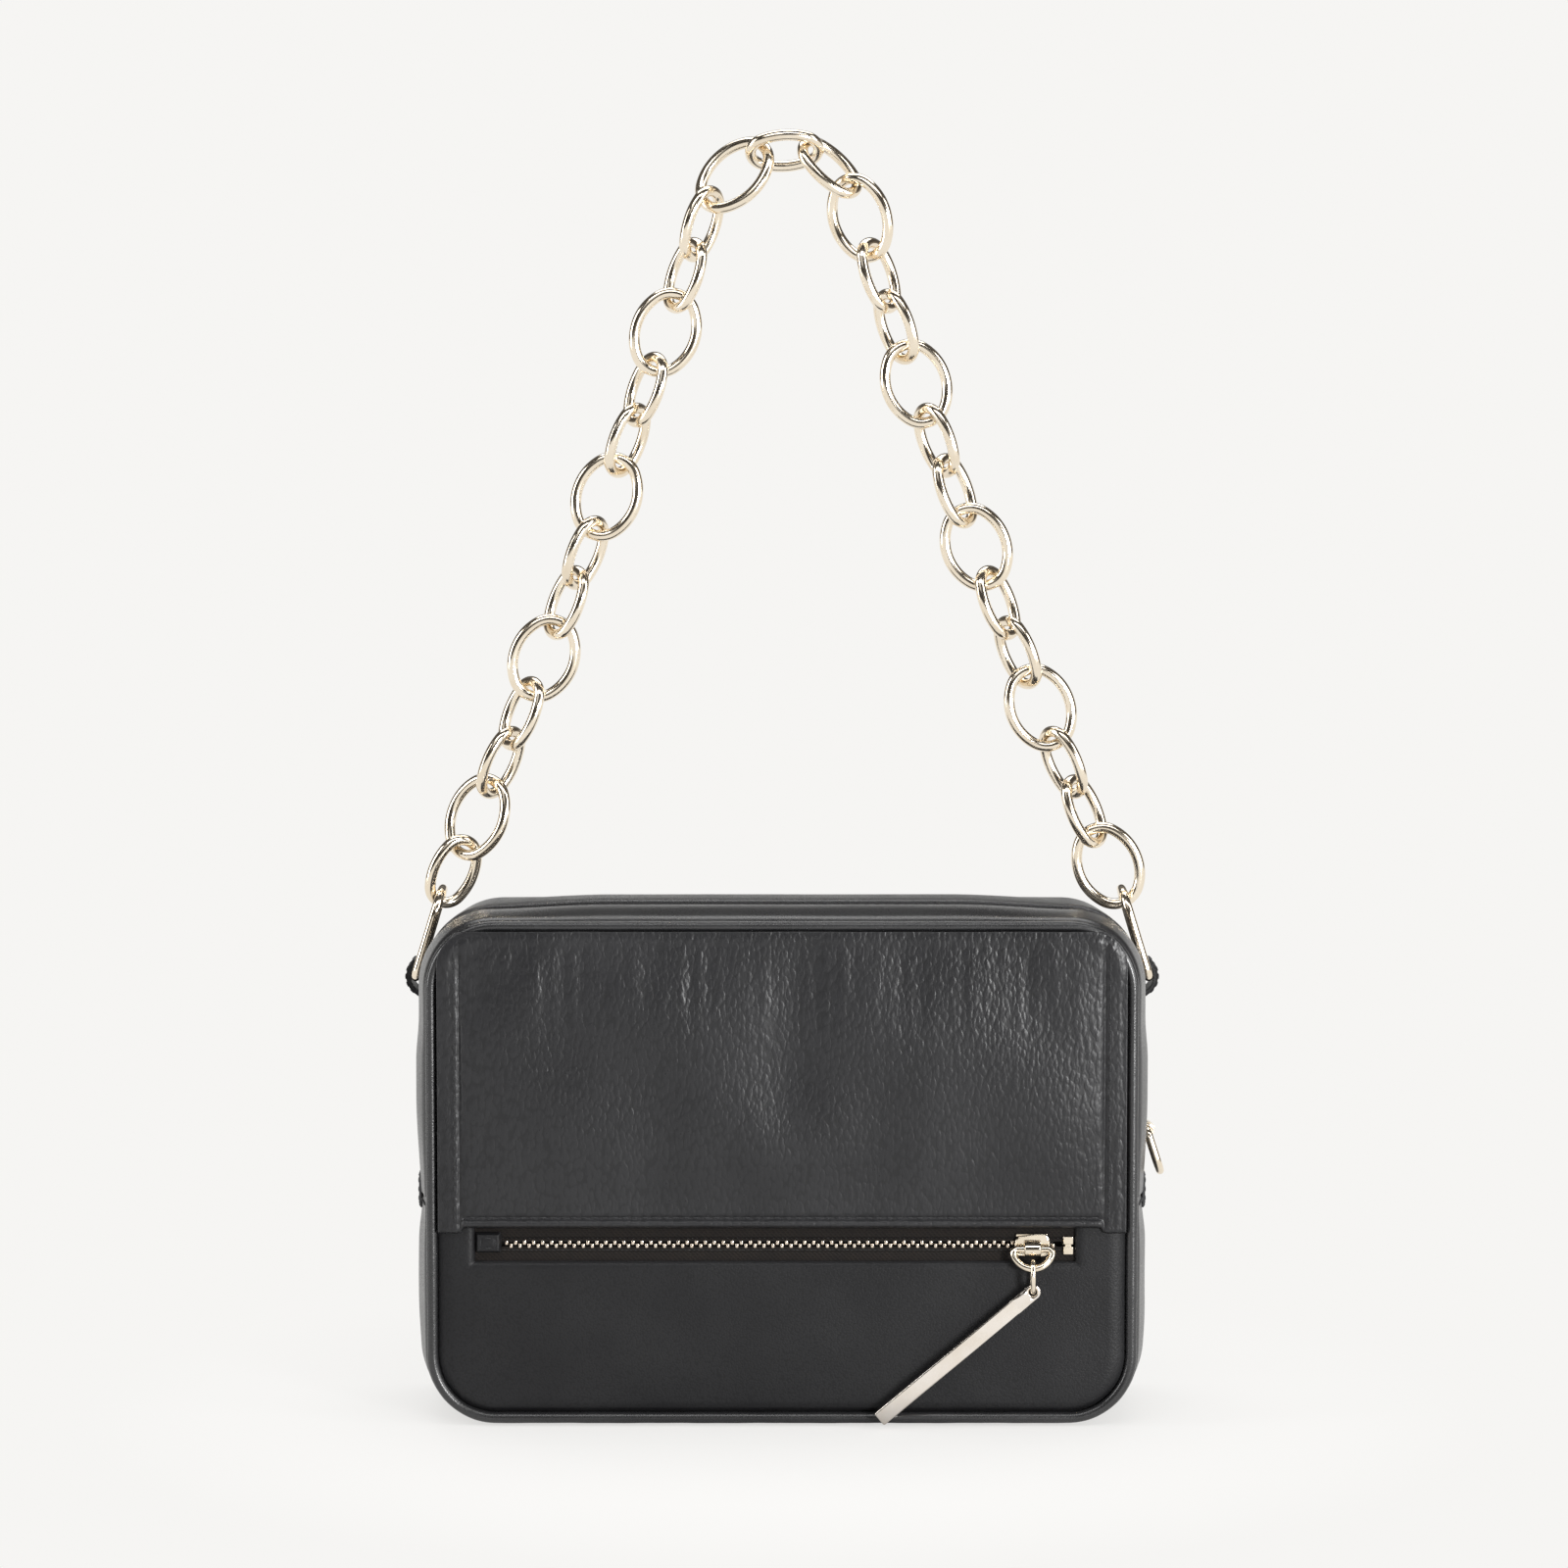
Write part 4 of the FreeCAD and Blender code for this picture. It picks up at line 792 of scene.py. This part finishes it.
def soft_tab(name, node, origin, axes, size, bow):
    """Leather patch with rounded corners and a swollen face, thickness along its third axis."""
    wide, tall, thick = size
    axes = np.asarray(axes, float)
    side, row_inset, row_points = 26, 1.7, 24
    u, v = np.meshgrid(np.linspace(-1, 1, side), np.linspace(-1, 1, side))
    x = u * wide / 2 * np.sqrt(1 - 0.1 * v ** 8)
    y = v * tall / 2 * np.sqrt(1 - 0.1 * u ** 8)
    edge = np.minimum(wide / 2 - np.abs(x), tall / 2 - np.abs(y))
    face = thick * (0.25 + 0.75 * ease(edge, 0, 0.9)) + bow * (1 - u ** 2) * (1 - v ** 2)
    face -= 0.16 * bell(edge, row_inset, 0.45)
    verts = np.concatenate([grid_points(x, y, face), grid_points(x, y, np.zeros_like(x))]) @ axes + origin
    count = side * side
    faces = grid_faces(side, side)
    faces += [tuple(i + count for i in f[::-1]) for f in faces]
    rim = [*range(side), *range(2 * side - 1, count, side)]
    rim += [*range(count - 2, count - side - 1, -1), *range(count - 2 * side, 0, -side)]
    faces += [(a, a + count, b + count, b) for a, b in zip(rim, rim[1:] + rim[:1])]
    add_piece(name, verts, faces, smooth_leather, "smooth_leather", [node])
    reach = wide / 2 - row_inset, tall / 2 - row_inset
    corners = np.array([(-1, -1), (1, -1), (1, 1), (-1, 1), (-1, -1)]) * reach
    lines = []
    for start, end in zip(corners[:-1], corners[1:]):
        path = np.linspace(start, end, row_points)
        lift = thick - 0.1 + bow * (1 - (2 * path[:, 0] / wide) ** 2) * (1 - (2 * path[:, 1] / tall) ** 2)
        lines.append((np.column_stack([path, lift]) @ axes + origin, [axes[2]] * row_points))
    sew(name + "_stitch", lines, pitch=2.4, stitch=FINE_STITCH)


for tag, hand in SIDES:
    soft_tab(f"zip_tab_{tag}", f"main_zip_end_tab_{tag}", (hand * (HALF_W + 0.1), 0, ZIP_END),
             [(0, hand, 0), (0, 0, 1), (hand, 0, 0)], size=(30.0, 12.0, 1.0), bow=0.25)
soft_tab("pocket_tab", "pocket_zip_end_tab", POCKET_TAB, FRONT_AXES, size=(8.0, 6.4, 2.0), bow=0.3)


# Zips: woven tapes with a corded edge, and meshed teeth
def tape_profile(start, end):
    """Half a tape: a corded edge beside the teeth, and a flat weave out to its end."""
    flat = start + 1.55
    cord = [(start, -0.45), (start - 0.2, 0.1), (start + 0.25, 0.5), (start + 0.85, 0.3), (flat, 0.28)]
    weave = [(end - 0.1, 0.28), (end, 0), (end - 0.1, -0.28), (flat, -0.28), (start + 0.65, -0.5)]
    return profile(cord + weave, 2).T


def main_half(hand):
    """One tape, which follows the outline and the soft top."""
    across, level = tape_profile(1.45, 9.5)
    runs = np.linspace(ZIP_START - 8, ZIP_STOP + 8, 260)
    return sweep(runs, lambda run: (hand * across, level - ZIP_SINK + crown(run, hand * across)))


def pocket_half(hand):
    """One straight tape, a little wavy away from the teeth."""
    across, level = tape_profile(1.05, 12.0)
    rings = []
    for x in np.linspace(-98, 94, 120):
        wave = 0.12 * ripple(np.array(x), across * hand, 26, 61) * ease(across, 2.5, 6)
        y, z = POCKET_Y - level - wave, POCKET_Z + hand * across
        rings.append(np.stack([np.full(len(across), x), y, z], axis=1))
    return loft(rings)


main_tape = merge([main_half(-1), flipped(main_half(1))])
add_piece("tape_main", *main_tape, tape_cloth, "zip_tape", ["main_zip_tape"])
pocket_tape = merge([pocket_half(-1), flipped(pocket_half(1))])
add_piece("tape_pocket", *pocket_tape, tape_cloth, "zip_tape", ["pocket_zip_tape"])


def make_teeth(name, node, tooth, stations, spot, apart):
    """Teeth on two tapes in turn. spot(station) gives a point, and the along, across and out directions."""
    places = []
    for index, station in enumerate(stations):
        hand = -1 if index % 2 else 1
        here, along, across, out = (np.array(part, float) for part in spot(station))
        places.append((here + across * hand * apart, np.stack([along, across, out])))
    add_piece(name, *stamp(tooth, places), brass, "zip_brass", [node])


def main_spot(run):
    """Place and directions on the main zip."""
    x, z, nx, nz = outline(run, ZIP_SINK - float(crown(run, 0)))
    return (x, 0, z), (-nz, 0, nx), (0, 1, 0), (nx, 0, nz)


def pocket_spot(x):
    """Place and directions on the pocket zip."""
    return (x, POCKET_Y, POCKET_Z), *FRONT_AXES


make_teeth("teeth_main", "main_zip_teeth", rounded_block(1.1, 1.9, 1.7, 0.3),
           np.arange(run_at(TEETH_END), GIRTH - run_at(TEETH_END), TOOTH_PITCH), main_spot, apart=0.7)
make_teeth("teeth_pocket", "pocket_zip_teeth", rounded_block(1.0, 1.45, 1.5, 0.28),
           np.arange(-85.4, 84.2, TOOTH_PITCH), pocket_spot, apart=0.5)


# Inside: lining sheets behind the leather
def rounded_sheet(depth, seed, flip):
    """Loose upright sheet with the body's rounded outline: vertices and faces."""
    top, radius = HIGH - LINING_INSET, CORNER - LINING_INSET
    rows, columns = round_rows(LINING_INSET + 1, top, radius, 4.0), np.linspace(-1, 1, 60)
    x, z = spread(rows, columns, half_width(rows, HALF_W - LINING_INSET, LINING_INSET, top, radius))
    hang = np.sin(math.pi * (columns + 1) / 2)[None, :]
    hang = hang * np.sin(math.pi * (z - LINING_INSET) / (HIGH - 2 * LINING_INSET))
    y = depth + 0.5 * hang * ripple(x, z * 0.5, 30, seed)
    return grid_points(x, y, z), grid_faces(len(rows), len(columns), None, flip)


def make_lining():
    """Front and back sheets, and three bands between them beside the zip's mouth."""
    count, back_off = 14, 0.2
    parts = [rounded_sheet(LINING_FRONT, 71, False), rounded_sheet(LINING_BACK, 72, True)]
    upper = np.linspace(ZIP_START, ZIP_STOP, 160)
    lower = np.linspace(ZIP_STOP, GIRTH + ZIP_START, 120)
    hang = np.sin(math.pi * np.linspace(0, 1, count))
    for runs, near, far in ((upper, LINING_FRONT, -LINING_MOUTH), (upper, LINING_MOUTH, LINING_BACK),
                            (lower, LINING_FRONT, LINING_BACK)):
        depths = np.linspace(near, far, count)
        rows = []
        for run in runs:
            x, z, nx, nz = outline(run, LINING_INSET)
            slack = 0.35 * ripple(np.full(count, run), depths, 24, 73) * hang - back_off
            rows.append(np.stack([x + nx * slack, depths, z + nz * slack], axis=1))
        parts.append((np.concatenate(rows), grid_faces(len(runs), count)))
    verts, faces = merge(parts)
    verts[:, 2] = np.maximum(verts[:, 2], LINING_LOW)
    add_piece("lining_sheets", verts, faces, lining_cloth, "lining_cloth", ["main_lining"])


def make_pouch():
    """Pocket lining: a flat front with the slot's mouth, and a full back."""
    xs, zs = np.linspace(-98.6, 94.6, 60), np.linspace(8.4, 69.2, 24)
    mouth_x, mouth_z, centre, half = (-96, 92), (49, 64), (-2, 38.8), (96.6, 30.4)
    front_y, back_y, deep, uneven = -28.95, -28.7, 5.9, 0.35
    x, z = np.meshgrid(xs, zs)
    full = np.sqrt(np.clip(1 - np.abs((x - centre[0]) / half[0]) ** 6, 0, 1))
    full = full * np.sqrt(np.clip(1 - np.abs((z - centre[1]) / half[1]) ** 5, 0, 1))
    back = back_y + full * (deep + uneven * ripple(x, z, 26, 81))
    middle_x, middle_z = (xs[:-1] + xs[1:]) / 2, (zs[:-1] + zs[1:]) / 2

    def keep(j, i):
        return not (mouth_x[0] < middle_x[i] < mouth_x[1] and mouth_z[0] < middle_z[j] < mouth_z[1])
    front_part = grid_points(x, np.full_like(x, front_y), z), grid_faces(len(zs), len(xs), keep)
    back_part = grid_points(x, back, z), grid_faces(len(zs), len(xs), None, True)
    parts = merge([front_part, back_part])
    add_piece("pocket_pouch", *parts, lining_cloth, "lining_cloth", ["pocket_lining"])


make_lining()
make_pouch()


# Plated metal: bent wire keeps its CAD shape, cast pieces are made again with rounded edges
def cast(name, verts, faces, node, body, finish=gold):
    """Gold piece whose flat faces stay flat up to their rounded edges."""
    piece = add_piece(name, verts, faces, finish, "pale_gold", [node], body)
    piece.modifiers.new("flat_faces", "WEIGHTED_NORMAL")


def plate(low, high):
    """Slider plate: a shield outline, wider at the nose, with rounded rims."""
    length = 5.5
    side = length * np.sin(np.linspace(-math.pi / 2, math.pi / 2, 27))
    half = (2.85 + 0.75 * ease(side, -3.5, 2.0)) * np.sqrt(np.maximum(1 - np.abs(side / length) ** 7, 0.0009))
    outer = np.concatenate([np.stack([side, half], axis=1), np.stack([side, -half], axis=1)[::-1]])
    rings = []
    for height, inset in ((low, 0.32), (low + 0.12, 0.1), (low + 0.35, 0),
                          (high - 0.35, 0), (high - 0.12, 0.1), (high, 0.32)):
        flat = outer * (1 - inset / 3.0)
        rings.append(np.column_stack([flat, np.full(len(flat), height)]))
    return loft(rings)


def bridge(radius, middle, foot, half):
    """Arched strip over the pull, with the heights of its arch's middle and of its foot."""
    thick, bevel = 0.8, 0.15
    shoulder = (foot + middle) / 2
    arch = [(radius * math.cos(a), middle + radius * math.sin(a)) for a in np.linspace(math.pi, 0, 19)]
    path = np.array([(-radius, foot), (-radius, shoulder), *arch, (radius, shoulder), (radius, foot)])
    along = np.gradient(path, axis=0)
    along /= np.linalg.norm(along, axis=1)[:, None]
    inner = half - bevel
    lower = [(-half, -0.3 * thick), (-inner, -thick / 2), (inner, -thick / 2), (half, -0.3 * thick)]
    section = profile(lower + [(-a, -b) for a, b in lower], 2)
    rings = []
    for (a, b), (ta, tb) in zip(path, along):
        rings.append(np.column_stack([a - tb * section[:, 1], section[:, 0], b + ta * section[:, 1]]))
    return loft(rings)


def make_slider(name, node, body, origin, axes, wire, across=None):
    """Slider with a bridge for a pull's wire. A bridge that lies across it is given its shift."""
    inner, outer, clear = 1.35, 2.45, 0.35
    tunnel = wire / 2 + clear
    bow = bridge(tunnel + 0.4, outer + tunnel + 0.3, foot=2.3, half=2.3)
    if across is not None:
        bow = moved(flipped((bow[0][:, [1, 0, 2]], bow[1])), (0, across, 0))
    post, flange = rounded_block(2.8, 0.8, 2.9, 0.15), rounded_block(9.6, 0.95, 0.8, 0.2)
    parts = [plate(inner, outer), plate(-outer, -inner), bow, moved(post, (3.7, 0, 0))]
    for hand in (-1, 1):
        parts += [moved(flange, (-0.2, hand * 2.98, level * 1.05)) for level in (-1, 1)]
    verts, faces = merge(parts)
    cast(name, verts @ np.asarray(axes, float) + origin, faces, node, body)


def make_bar():
    """Square bar that runs out in a taper to the flat eye on its pivot."""
    axes = np.array([(-math.cos(BAR_TURN), 0, -math.sin(BAR_TURN)), (0, 1, 0),
                     (math.sin(BAR_TURN), 0, -math.cos(BAR_TURN))])
    hole, eye_half, eye_end, bevel, round_off = 1.25, 2.4, 8.3, 0.25, 0.5
    levels = np.array([-0.6, -0.85, -0.85, -0.6, 0.6, 0.85, 0.85, 0.6])
    rings = []
    for angle in np.linspace(0, math.tau, 120, endpoint=False):
        cos, sin = math.cos(angle), math.sin(angle)
        far = min(eye_half / max(abs(sin), 0.01), eye_end / max(cos, 0.01)) if cos > 0 else eye_half
        reach = np.array([hole, hole + bevel, far - bevel, far, far, far - bevel, hole + bevel, hole])
        rings.append(np.stack([reach * cos, levels, reach * sin], axis=1))
    eye = loft(rings, True)
    rings = []
    for along, wide, thick in ((6.2, 2.35, 0.75), (6.6, 2.4, 0.86), (12, 2.4, 1.14), (18, 2.4, 1.42),
                               (24, 2.4, 1.63), (30, 2.4, 1.7), (61.55, 2.4, 1.7), (61.88, 2.26, 1.56),
                               (62, 1.95, 1.25)):
        ring = []
        for quarter, (sa, sb) in enumerate(((1, 1), (-1, 1), (-1, -1), (1, -1))):
            for turn in quarter * math.pi / 2 + np.linspace(0, math.pi / 2, 5):
                ring.append((along, sb * (thick - round_off) + round_off * math.sin(turn),
                             sa * (wide - round_off) + round_off * math.cos(turn)))
        rings.append(np.array(ring))
    verts, faces = merge([eye, loft(rings)])
    cast("bar_pull", verts @ axes + BAR_PIVOT, faces, "pocket_pull_bar", "pull_bar", bar_gold_painted_paler)


def make_stop():
    """Clip at the end of the pocket zip."""
    jaw, back = rounded_block(3.2, 0.9, 2.6, 0.3), rounded_block(2.0, 0.7, 3.0, 0.25)
    verts, faces = merge([moved(jaw, (0, 0, 1.6)), moved(jaw, (0, 0, -1.6)), moved(back, (0, 0.05, 0))])
    cast("stop_pocket", verts + POCKET_STOP, faces, "pocket_zip_stop", "bag")


make_bar()
make_slider("slider_main", "main_zip_slider", "main_slider", MAIN_SLIDER,
            [(0, 0, -1), (0, 1, 0), (1, 0, 0)], 2.6)
make_slider("slider_pocket", "pocket_zip_slider", "pocket_slider", (POCKET_SLIDER_X, POCKET_Y, POCKET_Z),
            FRONT_AXES, 2.2, across=-0.9)
make_stop()


# Pieces that keep their CAD shape
WIRE_NAMES = ("link_", "d_ring", "pocket_pull_ring", "pocket_pull_link", "main_zip_pull")
for name, node in nodes.items():
    if name == "base_board" or name.startswith(WIRE_NAMES):
        node.data.materials.clear()
        node.data.materials.append(board if name == "base_board" else gold)


# Floor, world and lamps
PAPER = (0.921, 0.913, 0.896)


def seen(net):
    """1 for rays that show the background: camera, glossy and transmission rays."""
    path = net.add("LightPath")
    some = net.math("MAXIMUM", path.outputs["Is Camera Ray"], path.outputs["Is Glossy Ray"])
    return net.math("MAXIMUM", some, path.outputs["Is Transmission Ray"])


def make_floor():
    """White paper with a soft shadow near the bag, and painted shade near the bag in what reflections show.
    """
    half, level = 6, -0.0004
    corners = ((-half, -half, level), (half, -half, level), (half, half, level), (-half, half, level))
    floor = add_mesh("floor", corners, [(0, 1, 2, 3)])
    net = Nodes(bpy.data.materials.new("floor_paper"))
    lit = net.add("BsdfDiffuse", Color=(0.76, 0.755, 0.745, 1))
    span = net.add("VectorMath", {"operation": "LENGTH"})
    net.put(net.coords(), span.inputs[0])
    away = span.outputs["Value"]
    # Painted shade: glossy rays see the floor darker within a quarter metre of the bag.
    near = net.ramp(away, [(0.05, 0.2), (0.1, (0.8, 0.79, 0.775)), (0.25, PAPER)])
    paper_with_painted_shade = net.mix(net.add("LightPath").outputs["Is Glossy Ray"], (*PAPER, 1), near)
    glow = net.add("Emission", Color=paper_with_painted_shade, Strength=1.0)
    far = net.add("MapRange", Value=away, From_Min=0.09, From_Max=0.22, To_Min=0.68, To_Max=1.0)
    share = net.math("MULTIPLY", seen(net), far.outputs[0])
    floor.data.materials.append(net.finish(net.blend(share, lit, glow)))


def make_world():
    """White backdrop for the camera, a dim room as light, and a painted reflection for glossy rays: a darker
    studio with a bright rear horizon, which lights nothing.
    """
    net = Nodes(bpy.data.worlds.new("studio"))
    direction = net.add("SeparateXYZ", Vector=net.add("TexCoord").outputs["Generated"])
    height = net.add("MapRange", Value=direction.outputs["Z"], From_Min=-0.3, From_Max=1.0).outputs[0]
    room = net.ramp(height, [(0.0, 0.32), (0.5, 0.5), (1.0, 0.8)])
    back, up = (net.scaled(direction.outputs[axis], 0.5, 0.5) for axis in "YZ")
    # Painted reflection: glossy rays alone see these dark and bright bands; the room that lights the bag has
    # none of them.
    behind = net.ramp(back, [(0.2, (0.05, 0.045, 0.04)), (0.45, (0.2, 0.19, 0.18)),
                             (0.62, (0.16, 0.14, 0.12)), (0.8, (0.3, 0.285, 0.27)), (0.92, PAPER)])
    level = net.ramp(up, [(0.35, 0.6), (0.48, 1.0), (0.58, 1.0), (0.68, 0.22), (0.9, 0.3)])
    painted_reflection = net.mix(level, (0.03, 0.027, 0.024, 1), behind)
    rear = net.ramp(back, [(0.84, 0.0), (0.94, 1.0)])
    painted_horizon_band = net.ramp(up, [(0.565, PAPER), (0.62, (0.07, 0.068, 0.066)), (0.9, (0.12, 0.118, 0.115))])
    painted_reflection = net.mix(rear, painted_reflection, painted_horizon_band)
    paths = net.add("LightPath")
    shown = net.mix(paths.outputs["Is Glossy Ray"], (*PAPER, 1), painted_reflection)
    light = net.add("Background", Color=room, Strength=0.7)
    backdrop = net.add("Background", Color=shown, Strength=1.0)
    scene.world = net.finish(net.blend(seen(net), light, backdrop), "OutputWorld")


def lamp(name, place, aim, wide, tall, power):
    """Area lamp at a place, turned to a point. Metres and watts."""
    data = bpy.data.lights.new(name, "AREA")
    data.shape = "RECTANGLE"
    data.size, data.size_y = wide, tall
    data.energy = power
    item = add_object(name, data)
    item.location = place
    item.rotation_euler = (Vector(aim) - Vector(place)).to_track_quat("-Z", "Y").to_euler()


make_floor()
make_world()
lamp("top", (0.0, 0.35, 1.3), (0, 0, 0.12), 1.2, 0.7, 8)
lamp("line", (0.0, -0.95, 1.35), (0, 0, 0.16), 1.7, 0.3, 8)
lamp("sheen", (0.82, -1.35, 0.28), (0.05, 0, 0.1), 0.25, 0.5, 22)
lamp("right", (1.15, -0.55, 0.6), (0, 0, 0.12), 0.4, 1.0, 7)
lamp("left", (-1.2, -0.3, 0.55), (0, 0, 0.12), 0.4, 1.0, 8)
lamp("front", (-0.5, -1.6, 1.2), (0, 0, 0.15), 0.9, 0.6, 1.2)
